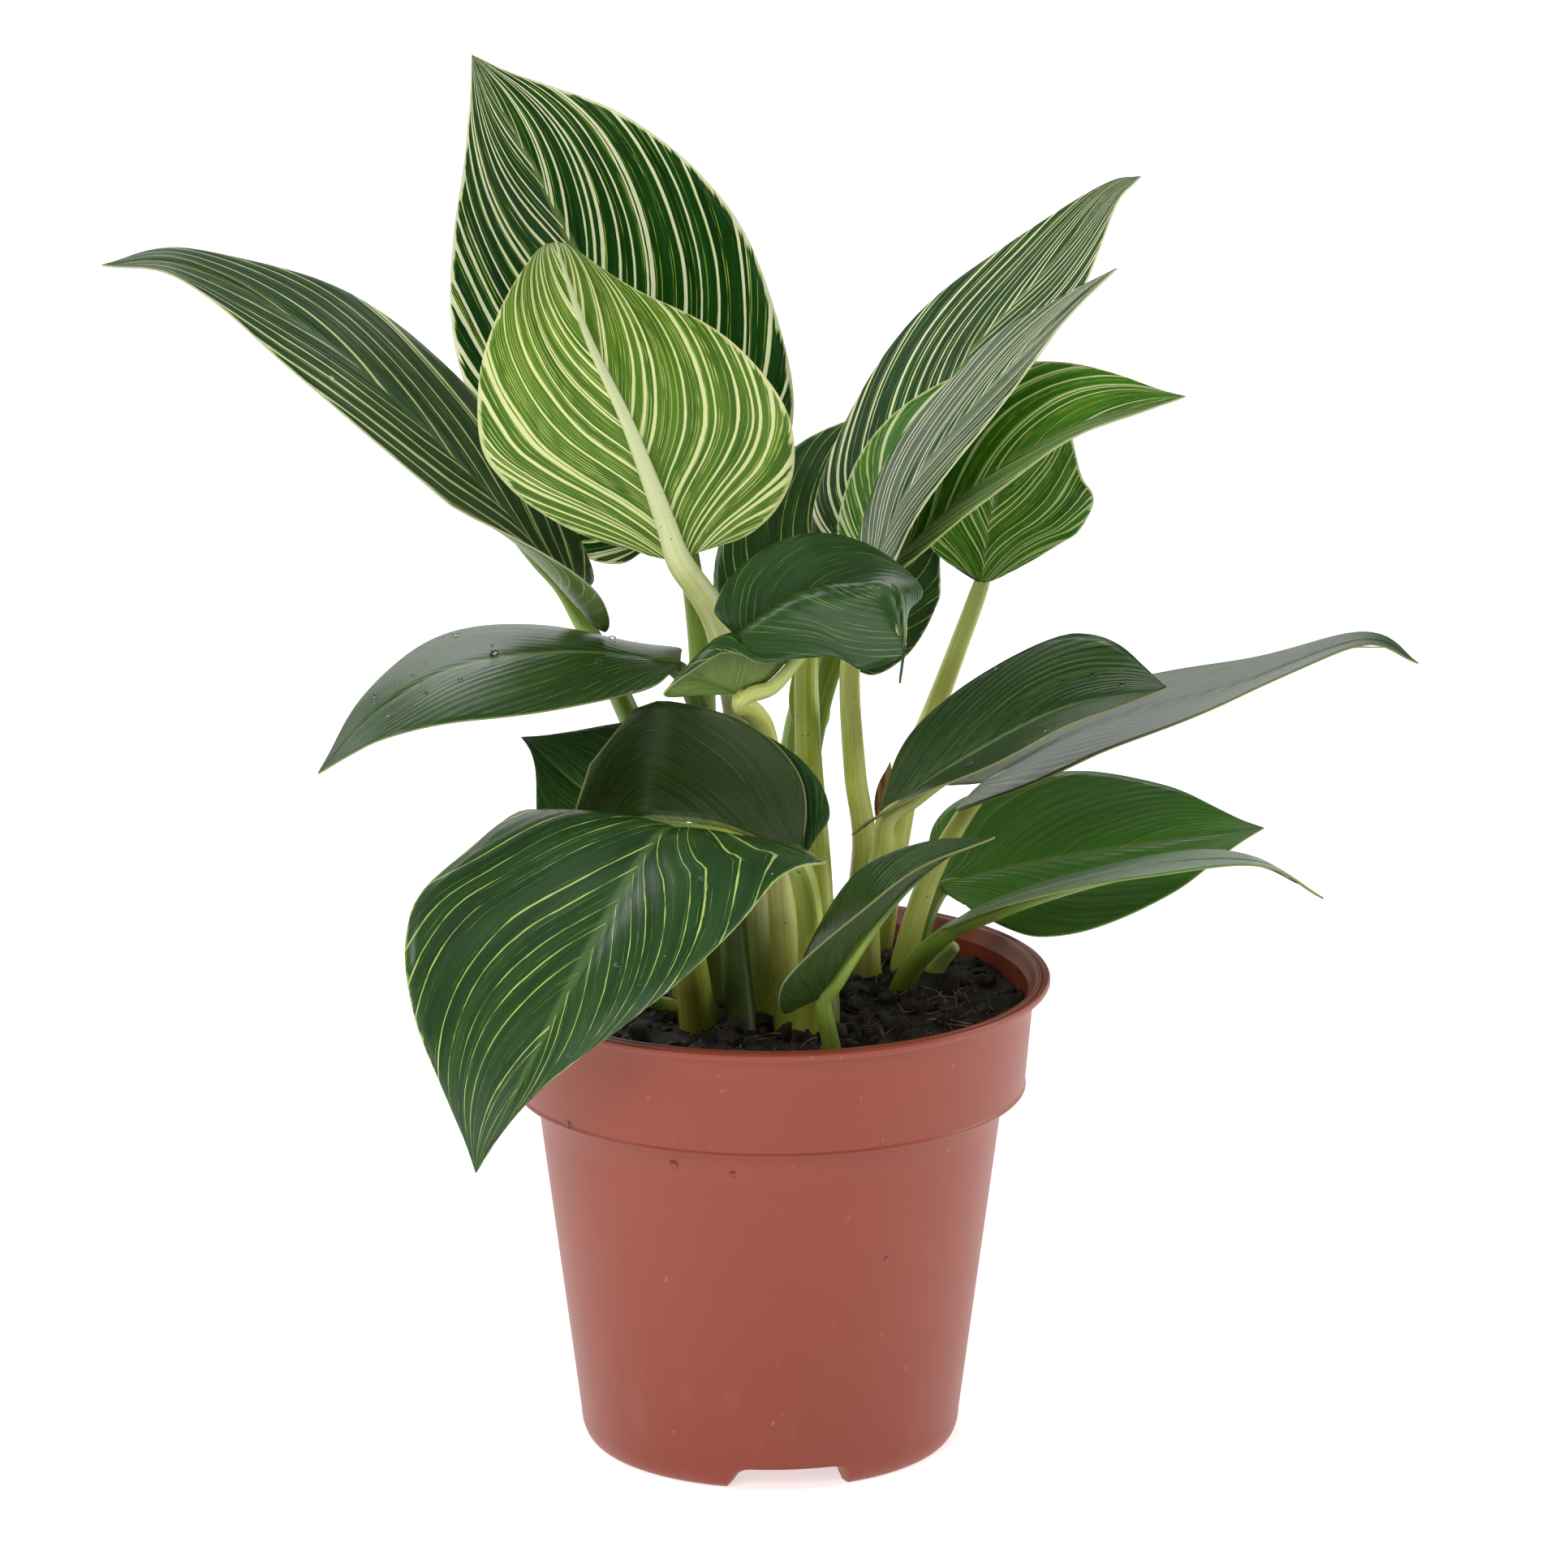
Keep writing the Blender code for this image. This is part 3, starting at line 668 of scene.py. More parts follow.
@dataclass(frozen=True)
class SatinPlastic:
    """The pot's terracotta-coloured plastic, with faint water marks near its foot and painted shade that
    darkens it towards the foot.

    Heights are in metres, and scales are lumps to a metre.
    """

    body: Colour = (0.270, 0.047, 0.021)
    cloud: Colour = (0.288, 0.052, 0.024)
    low: Colour = (0.245, 0.037, 0.014)
    # low: painted shade, the darker colour that the body takes towards the foot
    mark: Colour = (0.52, 0.24, 0.17)
    speck: Colour = (0.55, 0.30, 0.22)
    painted_shade_top: float = 0.07
    mark_top: float = 0.05
    mark_full: float = 0.012
    mark_strength: float = 0.07
    mark_scale: Point = (120.0, 120.0, 60.0)
    cloud_scale: float = 22.0
    speck_scale: float = 700.0
    speck_strength: float = 0.2
    grain_scale: float = 900.0
    grain_height: float = 0.00002

    def material(self) -> bpy.types.Material:
        """Make the material.

        Returns:
            The material.
        """
        made, g, shader = new_material("terracotta_plastic")
        own = g.own_place()
        height = g.parts(own)[2]
        clouds = g.grain(own, scale=self.cloud_scale, detail=4.0)
        drops = g.grain(g.stretched(own, self.mark_scale), detail=3.0)
        colour = g.mix(g.step(clouds, 0.3, 0.7), self.body, self.cloud)
        # painted shade: the body darkens towards the foot
        colour = g.mix(g.step(height, self.painted_shade_top, 0.0), colour, self.low)
        near_foot = g.times(g.step(height, self.mark_top, self.mark_full), self.mark_strength)
        marks = g.times(g.step(drops, 0.52, 0.7), near_foot)
        colour = g.mix(marks, colour, self.mark)
        specks = g.step(g.grain(own, scale=self.speck_scale, detail=0.0), 0.83, 0.85)
        g.feed(shader.inputs["Base Color"], g.mix(g.times(specks, self.speck_strength), colour, self.speck))
        g.feed(shader.inputs["Roughness"], g.between(g.plus(clouds, marks), 0.36, 0.50))
        g.feed(shader.inputs["Normal"], g.bump(g.grain(own, scale=self.grain_scale), self.grain_height))
        return made


@dataclass(frozen=True)
class Peat:
    """Damp peat: dark, crumbly and flecked, with its drier crumbs paler."""

    name: str
    dark: Colour
    light: Colour
    fleck: Colour = (0.16, 0.11, 0.07)
    lump_scale: float = 260.0
    lump_height: float = 0.0012
    fleck_scale: float = 1300.0

    def material(self) -> bpy.types.Material:
        """Make the material.

        Returns:
            The material.
        """
        made, g, shader = new_material(self.name)
        own = g.own_place()
        lumps = g.grain(own, scale=self.lump_scale, detail=6.0, rough=0.65)
        colour = g.mix(g.step(lumps, 0.42, 0.72), self.dark, self.light)
        flecks = g.step(g.grain(own, scale=self.fleck_scale, detail=1.0), 0.69, 0.74)
        g.feed(shader.inputs["Base Color"], g.mix(g.times(flecks, 0.5), colour, self.fleck))
        g.feed(shader.inputs["Roughness"], g.between(lumps, 0.75, 1.0))
        g.feed(shader.inputs["Normal"], g.bump(lumps, self.lump_height))
        return made


@dataclass(frozen=True)
class PeatFibre:
    """The dry pale fibres that lie in the peat."""

    dark: Colour = (0.10, 0.065, 0.035)
    light: Colour = (0.30, 0.21, 0.13)
    scale: float = 180.0

    def material(self) -> bpy.types.Material:
        """Make the material.

        Returns:
            The material.
        """
        made, g, shader = new_material("peat_fibre")
        tone = g.grain(g.own_place(), scale=self.scale)
        g.feed(shader.inputs["Base Color"], g.mix(g.step(tone, 0.35, 0.65), self.dark, self.light))
        g.feed(shader.inputs["Roughness"], g.between(tone, 0.7, 0.95))
        return made


@dataclass(frozen=True)
class Water:
    """Clear water, for the beads on the leaves and the pot."""

    tint: Colour = (0.95, 0.98, 0.96)
    white: Colour = (1.0, 1.0, 1.0)
    scale: float = 300.0
    roughness: float = 0.02
    refraction: float = 1.33

    def material(self) -> bpy.types.Material:
        """Make the material at its first use.

        Returns:
            The material.
        """
        known = bpy.data.materials.get("water")
        if known:
            return known
        made, g, shader = new_material("water")
        tone = g.grain(g.own_place(), scale=self.scale)
        g.feed(shader.inputs["Base Color"], g.mix(tone, self.tint, self.white))
        shader.inputs["Roughness"].default_value = self.roughness
        shader.inputs["IOR"].default_value = self.refraction
        shader.inputs["Transmission Weight"].default_value = 1.0
        return made


# ---------------------------------------------------------------------------------------- mesh helpers


class SmoothPath:
    """An evenly spaced Catmull-Rom curve through a few points."""

    def __init__(self, points: Sequence[Point | Vector], samples: int = 60) -> None:
        """Lay the curve.

        Args:
            points: the points it passes through, in order.
            samples: how many even steps it is cut into.
        """
        knots = [Vector(p) for p in points]
        knots = [2 * knots[0] - knots[1], *knots, 2 * knots[-1] - knots[-2]]
        steps = 16
        dense = []
        for a, b, c, d in zip(knots, knots[1:], knots[2:], knots[3:]):
            for step in range(steps):
                u = step / steps
                line = (c - a) * u
                square = (2 * a - 5 * b + 4 * c - d) * u * u
                cube = (3 * b - 3 * c + d - a) * u**3
                dense.append((2 * b + line + square + cube) / 2)
        dense.append(knots[-2])
        rows = np.array(dense)
        travelled = np.concatenate([[0.0], np.cumsum(np.linalg.norm(np.diff(rows, axis=0), axis=1))])
        goals = np.linspace(0.0, travelled[-1], samples + 1)
        self.rows = np.stack([np.interp(goals, travelled, rows[:, axis]) for axis in range(3)], axis=1)
        self.points = [Vector(row) for row in self.rows]
        self.length = float(travelled[-1])

    def at(self, share: float) -> Vector:
        """Find a point of the curve.

        Args:
            share: the share of the way along, held at the ends.

        Returns:
            The point.
        """
        place = min(max(share, 0.0), 1.0) * (len(self.points) - 1)
        index = min(int(place), len(self.points) - 2)
        return self.points[index].lerp(self.points[index + 1], place - index)

    def heading(self, share: float) -> Vector:
        """Find the direction of travel.

        Args:
            share: the share of the way along.

        Returns:
            The unit direction.
        """
        step = 0.02
        return (self.at(share + step) - self.at(share - step)).normalized()


def along(values: Sequence[float], share: float) -> float:
    """Interpolate evenly spaced numbers.

    Args:
        values: the numbers, from the base to the tip.
        share: the place, from 0 at the base to 1 at the tip.

    Returns:
        The number there.
    """
    place = min(max(share, 0.0), 1.0) * (len(values) - 1)
    index = min(int(place), len(values) - 2)
    return values[index] + (values[index + 1] - values[index]) * (place - index)


def lathe(profile: Sequence[tuple[float, float]], closed: bool, segments: int) -> bmesh.types.BMesh:
    """Turn a section about the Z axis.

    Args:
        profile: the section's (radius, height) points.
        closed: whether its last point joins its first.
        segments: how many steps the turn has.

    Returns:
        The turned mesh.
    """
    bm = bmesh.new()
    verts = [bm.verts.new((radius, 0, height)) for radius, height in profile]
    following = [*verts[1:], verts[0]] if closed else verts[1:]
    edges = [bm.edges.new(pair) for pair in zip(verts, following)]
    bmesh.ops.spin(
        bm, geom=[*verts, *edges], cent=(0, 0, 0), axis=(0, 0, 1), angle=2 * pi,
        steps=segments, use_merge=True,
    )
    bmesh.ops.remove_doubles(bm, verts=bm.verts, dist=0.001)
    return bm


def add_bead(bm: bmesh.types.BMesh, place: Vector, out: Vector, size: Point) -> None:
    """Add a flattened bead of water to a mesh.

    Args:
        bm: the mesh to add to.
        place: the bead's centre.
        out: the direction that the surface under it faces.
        size: its half lengths, the last one along out.
    """
    turn = out.to_track_quat("Z", "Y").to_matrix().to_4x4()
    shape = Matrix.Translation(place) @ turn @ Matrix.Diagonal((*size, 1.0))
    bmesh.ops.create_icosphere(bm, subdivisions=2, radius=1.0, matrix=shape)


def thicken(piece: bpy.types.Object, thickness: float) -> bpy.types.SolidifyModifier:
    """Give an open sheet a thickness, half of it to each side.

    Args:
        piece: the sheet.
        thickness: the thickness in millimetres.

    Returns:
        The modifier, for its material slots.
    """
    solid = piece.modifiers.new("Thickness", "SOLIDIFY")
    solid.thickness = thickness * MM
    solid.offset = 0.0
    return solid


def finish_piece(
    name: str, bm: bmesh.types.BMesh, materials: Sequence[bpy.types.Material], sharp: float = 180.0
) -> bpy.types.Object:
    """Turn a bmesh in millimetres into a smooth-shaded object at the origin.

    Args:
        name: the piece's name.
        bm: its mesh, which is freed.
        materials: its materials, in slot order.
        sharp: the angle in degrees past which an edge stays sharp.

    Returns:
        The object.
    """
    bmesh.ops.scale(bm, vec=(MM, MM, MM), verts=bm.verts)
    mesh = bpy.data.meshes.new(name)
    bm.to_mesh(mesh)
    bm.free()
    mesh.shade_smooth()
    mesh.set_sharp_from_angle(angle=radians(sharp))
    for material in materials:
        mesh.materials.append(material)
    piece = bpy.data.objects.new(name, mesh)
    bpy.context.scene.collection.objects.link(piece)
    return piece


def settle(piece: bpy.types.Object, slot: Slot | None, *nodes: str) -> bpy.types.Object:
    """Tie a finished piece to the frame.

    Args:
        piece: the piece.
        slot: the record's material slot that the piece stands for, if it has one; not used.
        *nodes: the frame's nodes that it stands for.

    Returns:
        The piece.
    """
    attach(piece, BODY)
    if nodes:
        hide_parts(*nodes)
    LOG.info("%s: %d faces", piece.name, len(piece.data.polygons))
    return piece


def rod(
    bm: bmesh.types.BMesh,
    path: SmoothPath,
    radii: Sequence[float],
    steps: int,
    sides: int,
    upper: Vector,
    groove: float = 0.0,
) -> None:
    """Add a closed tapering rod along a path to a mesh, with a map of its length and its turn.

    Args:
        bm: the mesh to add to.
        path: the rod's centre line.
        radii: its radius at even spaces along it.
        steps: how many rings it has.
        sides: how many sides a ring has.
        upper: the side that the groove runs along.
        groove: how deep the groove is, as a share of the radius.
    """
    made = bmesh.ops.create_grid(bm, x_segments=steps, y_segments=sides, size=1.0)
    layer = bm.loops.layers.uv.get(LEAF_MAP) or bm.loops.layers.uv.new(LEAF_MAP)
    places = {vert: ((vert.co.x + 1) / 2, (vert.co.y + 1) / 2) for vert in made["verts"]}
    faces = {face for vert in made["verts"] for face in vert.link_faces}
    for face in faces:
        for loop in face.loops:
            loop[layer].uv = places[loop.vert]
    for vert, (share, turn) in places.items():
        forward = path.heading(share)
        right = forward.cross(upper).normalized()
        up = right.cross(forward)
        angle = turn * 2 * pi - pi / 2
        end = min(share, 1 - share) * steps
        radius = along(radii, share) * (1.0 if end > 0.5 else 0.0)
        radius *= 1 - groove * exp(-(((turn - 0.5) / 0.09) ** 2))
        vert.co = path.at(share) + (right * cos(angle) + up * sin(angle)) * radius
    bmesh.ops.remove_doubles(bm, verts=made["verts"], dist=0.004)


# ---------------------------------------------------------------------------------------------- leaves


@dataclass(frozen=True)
class Half:
    """One side of a leaf blade, from the midrib to its margin.

    fold and bend run from the base to the tip in degrees: fold lifts the side off the flat at the
    midrib, and bend is how far it curls towards (+) or away from (-) the upper face by its margin.
    peak is where along the blade the side is widest, lobe how far it reaches behind the stalk, and a
    taper above 1 narrows the side quickly towards the tip.  The bend lies at the crease, which runs
    from base to tip as shares of the width, and reaches as far as crease_reach to both sides of it.
    """

    width: float
    fold: tuple = (0, 0)
    bend: tuple = (0, 0)
    peak: float = 0.28
    lobe: float = 0.075
    taper: float = 1.0
    crease: tuple = (0.5, 0.5)
    crease_reach: float = 0.5

    def section(self, across: float, share: float, breadth: float) -> tuple[float, float, float]:
        """Follow the side's cross-section: straight, then bent within the crease, then straight.

        Args:
            across: the distance from the midrib.
            share: the place along the blade.
            breadth: the side's own width here, which a narrow crease keeps its place in.

        Returns:
            The distance sideways, the rise, and the angle turned so far.
        """
        bend = radians(along(self.bend, share))
        crease = along(self.crease, share)
        span = breadth if self.crease_reach < 0.5 else self.width
        start = max(crease - self.crease_reach, 0.0) * span
        end = (crease + self.crease_reach) * span
        if across <= start or abs(bend) < 1e-6 or span < 1e-6:
            return across, 0.0, 0.0
        curve = bend / (end - start)
        turn = curve * (min(across, end) - start)
        beyond = max(across - end, 0.0)
        sideways = start + sin(turn) / curve + beyond * cos(turn)
        return sideways, (1 - cos(turn)) / curve + beyond * sin(turn), turn

    def margin(self) -> SmoothPath:
        """Lay the margin.

        Returns:
            A curve of (along the blade, share of the width) points from base to tip.
        """
        p, lobe, rest = self.peak, self.lobe, 1 - self.peak
        if lobe >= 0:
            near = [(0, 0), (-0.55 * lobe, 0.22), (-lobe, 0.48), (0.12 * p - 0.45 * lobe, 0.74)]
            near.append((0.42 * p, 0.93))
        else:
            near = [(0, 0), (-0.35 * lobe, 0.22), (-0.8 * lobe, 0.48), (0.12 * p - 1.1 * lobe, 0.74)]
            near.append((0.42 * p - 0.9 * lobe, 0.93))
        far = [(p + 0.26 * rest, 0.90), (p + 0.53 * rest, 0.64), (p + 0.75 * rest, 0.33)]
        far.append((p + 0.89 * rest, 0.13))
        far = [(x, y**self.taper) for x, y in far]
        return SmoothPath([(x, y, 0) for x, y in [*near, (p, 1), *far, (1, 0)]], 240)


@dataclass(frozen=True)
class Leaf:
    """A leaf: its stalk from the soil, its midrib, the way its upper face looks, and its marks.

    stalk and midrib are points along them, stalk_radii the stalk's radius in the soil and at the
    blade, and faces the way that the upper face looks at even spaces from base to tip.
    """

    name: str
    stalk: tuple
    stalk_radii: tuple
    midrib: tuple
    faces: tuple
    left: Half
    right: Half
    look: LeafLook = LeafLook.BOLD
    slot: Slot = Slot.STRIPED
    tone: StalkTone = StalkTone.YELLOW
    ripple: float = 0.5
    beads: int = 0
    stripes: dict = field(default_factory=dict)


LEAVES = (
    Leaf(
        "tall_back_leaf",
        ((-12, 10, 96), (-14, 20, 134), (-15, 32, 167)), (3.8, 2.2),
        ((-19, 40, 193), (-30, 44, 221), (-45, 42, 259), (-63, 26, 298)),
        ((0.05, -1, 0.2), (0.1, -1, 0.3)),
        Half(34, (5, 5), (15, 10), 0.38, 0.03),
        Half(36, (5, 5), (15, 10), 0.42, 0),
        LeafLook.BOLD, Slot.STRIPED, StalkTone.GREEN, 0.8,
        stripes={"margin": 0.03},
    ),
    Leaf(
        "pale_front_leaf",
        ((-2, 0, 96), (-4, -4, 130), (-6, -6, 158), (-11, -10, 183)), (4.0, 2.8),
        ((-19, -17, 199), (-29, -26, 229), (-39, -24, 251), (-44, -14, 264), (-45, 0, 263)),
        ((-0.1, 1, 0.2), (-0.1, 1, 0.1), (0, 0.8, -0.6)),
        Half(32, (5, 5), (10, 10), 0.26, 0.01, 1.7),
        Half(31, (5, 5), (10, 10), 0.46, -0.13, 1.7),
        LeafLook.CREAMY, Slot.PALE, StalkTone.WHITE, 0.4,
    ),
    Leaf(
        "curled_centre_leaf",
        ((4, -9, 96), (2, -10, 125), (-1, -12, 159)), (3.8, 2.2),
        (
            (-7, -26, 172), (0, -25, 175), (6, -24, 182), (12, -25, 189), (20, -29, 194), (26, -34, 197),
            (28, -41, 196), (28, -48, 188), (27, -52, 181),
        ),
        ((-0.5, 0, 0.85), (-0.5, 0, 0.85), (-0.4, -0.1, 0.9), (-0.1, -0.5, 0.85), (0, -1, 0.2), (0, -1, 0.1)),
        Half(20, (75, 80, 60, -30, -85, -85), (10, 10), 0.3, -0.05, 3.2),
        Half(
            29, (88, 90, 83, 75, 30, 0), (-160, -165, -165, -165, -120, -60), 0.48, 0.20, 3.5,
            (0.72, 0.5, 0.3, 0.25, 0.2, 0.2), 0.14,
        ),
        LeafLook.PALE_BACKED, Slot.GREEN, StalkTone.PALE, 0.4,
    ),
    Leaf(
        "long_left_leaf",
        ((-17, 3, 96), (-19, 12, 127), (-30, 16, 156)), (3.8, 2.2),
        ((-41, 13, 183), (-60, 3, 209), (-93, -4, 243), (-122, -4, 259), (-140, -4, 259)),
        ((0.45, -0.3, 0.75),) * 2,
        Half(27, (0, 0), (90, 20, 0, 0), 0.28, 0.03),
        Half(28, (0, 0), (0, 0), 0.28, 0.04),
        LeafLook.PALE_SHEEN_BACKED, Slot.STRIPED, StalkTone.GREEN, 0.6, beads=5,
    ),
    Leaf(
        "arching_left_leaf",
        ((-6, -13, 96), (-9, -9, 130), (-14, -8, 160)), (3.6, 2.2),
        ((-19, -8, 174), (-42, -14, 178), (-66, -20, 176), (-83, -24, 167), (-95, -24, 154)),
        ((0, -0.1, 1), (-0.5, -0.3, 0.8)),
        Half(24, (0, 0), (-20, -10), 0.42, -0.10),
        Half(24, (0, 0), (-20, -10), 0.38, 0.03),
        LeafLook.PLAIN, Slot.GREEN, StalkTone.DARK, 0.6, beads=26,
    ),
    Leaf(
        "rolled_inner_leaf",
        ((8, -20, 96), (9, -26, 118)), (3.4, 2.8),
        ((7, -30, 137), (-10, -25, 143), (-33, -11, 143), (-53, 2, 155)),
        ((0.3, -0.1, 0.9),) * 2,
        Half(
            25, (60, 68, 74, 79, 83, 86, 87, 88, 88, 88, 80, 15) + (-45,) * 9,
            (12, 12, 12, 0, 0), 0.5, -0.04, 1.5,
        ),
        Half(23, (70, 70, 50), (10, 0), 0.6, 0.02),
        LeafLook.PLAIN, Slot.GREEN, StalkTone.YELLOW, 0.3,
    ),
    Leaf(
        "hanging_front_leaf",
        ((-15, -11, 96), (-18, -24, 123)), (4.2, 2.8),
        ((-15, -41, 145), (-23, -54, 149), (-37, -67, 128), (-51, -72, 102), (-61, -72, 81)),
        ((0, -0.1, 1), (-0.1, -0.6, 0.8), (-0.1, -1, 0.4), (-0.1, -1, 0.2)),
        Half(32, (15, 8, 0), (-25, -45, -30), 0.02, 0.085, 1.7),
        Half(41, (0, 0), (-35, -20, -10), 0.50, 0.02),
        LeafLook.PINSTRIPED, Slot.GREEN, StalkTone.YELLOW, 0.6, beads=9,
    ),
    Leaf(
        "tall_right_leaf",
        ((11, -7, 96), (10, 2, 124), (8, 14, 153), (9, 24, 171)), (3.8, 2.2),
        ((18, 36, 184), (30, 42, 207), (42, 44, 228), (59, 42, 248), (72, 38, 265), (79, 34, 270)),
        ((-0.55, -0.6, 0.55),) * 2,
        Half(21, (0, 0), (0, 0), 0.30, 0.03),
        Half(22, (10, 10), (0, 0), 0.45, 0.0, 0.8),
        LeafLook.BOLD, Slot.STRIPED, StalkTone.YELLOW, 0.5,
        stripes={"main_width": 0.16, "fine_width": 0.08},
    ),
    Leaf(
        "narrow_right_leaf",
        ((17, 32, 96), (20, 24, 124), (18, 18, 143), (17, 11, 169)), (3.2, 2.2),
        ((20, 8, 185), (29, 6, 208), (45, 6, 229), (63, 4, 248), (73, 2, 257)),
        ((-0.76, -0.12, 0.62),) * 2,
        Half(22, (5, 5), (0, 0), 0.35, 0.03),
        Half(14, (0, 0), (-15, -10), 0.35, 0.03),
        LeafLook.BOLD, Slot.STRIPED, StalkTone.PALE, 0.5,
        stripes={"main_width": 0.14, "fine_width": 0.08},
    ),
    Leaf(
        "pointed_right_leaf",
        ((6, 17, 96), (6, 22, 124), (9, 25, 150), (16, 25, 172)), (3.8, 2.2),
        ((25, 22, 187), (43, 17, 206), (65, 12, 221), (88, 8, 228)),
        ((-0.2, -0.75, 0.6),) * 2,
        Half(26),
        Half(14, (50, 40)),
        LeafLook.SUNLIT, Slot.STRIPED, StalkTone.GREEN, 0.5,
    ),
    Leaf(
        "small_back_leaf",
        ((23, 38, 96), (27, 42, 118), (31, 48, 136), (38, 55, 153)), (3.2, 1.9),
        ((46, 58, 175), (48, 62, 189), (53, 64, 204), (62, 60, 217)),
        ((-0.1, -1, 0.3),) * 2,
        Half(18, (0, 0), (0, 0), 0.45, -0.10),
        Half(21, (0, 0), (0, 0), 0.5, -0.14, 0.7),
        LeafLook.SUNLIT, Slot.STRIPED, StalkTone.PALE, 0.4,
    ),
    Leaf(
        "dark_back_leaf",
        ((1, 24, 96), (3, 34, 121), (6, 46, 145)), (3.8, 2.8),
        ((11, 56, 160), (13, 66, 176), (20, 72, 192), (30, 66, 215)),
        ((-0.1, -1, 0.3),) * 2,
        Half(25),
        Half(25),
        LeafLook.PINSTRIPED, Slot.GREEN, StalkTone.GREEN, 0.4,
    ),
    Leaf(
        "upper_side_leaf",
        ((21, 18, 96), (21, 12, 112), (24, 5, 129)), (3.2, 2.2),
        ((24, 2, 138), (40, 0, 150), (62, -4, 163), (84, -10, 169)),
        ((-0.3, -0.35, 0.85),) * 2,
        Half(22, (10, 5), (0, 0), 0.64, -0.12, 0.9),
        Half(24, (35, 10)),
        LeafLook.PLAIN, Slot.GREEN, StalkTone.PALE, 0.4, beads=16,
    ),
    Leaf(
        "long_side_leaf",
        ((28, 24, 96), (33, 26, 114), (40, 27, 128)), (3.2, 1.9),
        ((46, 28, 138), (70, 30, 150), (100, 30, 159), (127, 26, 170), (139, 22, 166)),
        ((-0.1, 0, 1),) * 2,
        Half(20, (5, 5)),
        Half(22, (0, 5)),
        LeafLook.PLAIN, Slot.GREEN, StalkTone.PALE, 0.5,
    ),
    Leaf(
        "broad_side_leaf",
        ((32, 33, 96), (33, 35, 104)), (2.8, 2.1),
        ((37, 38, 112), (55, 40, 116), (79, 38, 121), (107, 34, 126)),
        ((-0.1, -0.6, 0.78),) * 2,
        Half(23, (0, 0), (0, 0), 0.38, 0),
        Half(21, (0, 0), (0, 0), 0.42, -0.10),
        LeafLook.PAINTED_BACKLIGHT, Slot.GREEN, StalkTone.GREEN, 0.6,
    ),
    Leaf(
        "low_side_leaf",
        ((28, 12, 96), (32, 9, 104)), (3.0, 2.1),
        ((39, 6, 113), (57, 2, 121), (82, -2, 128), (104, -4, 129), (118, -4, 121)),
        ((-0.1, 0.15, 1),) * 2,
        Half(19, (0, 0), (0, 0), 0.36, 0),
        Half(19, (0, 0), (0, 0), 0.36, 0),
        LeafLook.PAINTED_BACKLIGHT, Slot.GREEN, StalkTone.GREEN, 0.4,
    ),
    Leaf(
        "small_front_leaf",
        ((13, -36, 96), (12, -40, 103)), (2.3, 1.9),
        ((10, -42, 110), (22, -47, 129), (34, -47, 141), (47, -45, 146)),
        ((-0.5, -0.2, 0.8),) * 2,
        Half(16, (20, 10)),
        Half(16, (50, 20)),
        LeafLook.PLAIN, Slot.GREEN, StalkTone.GREEN, 0.4,
    ),
)


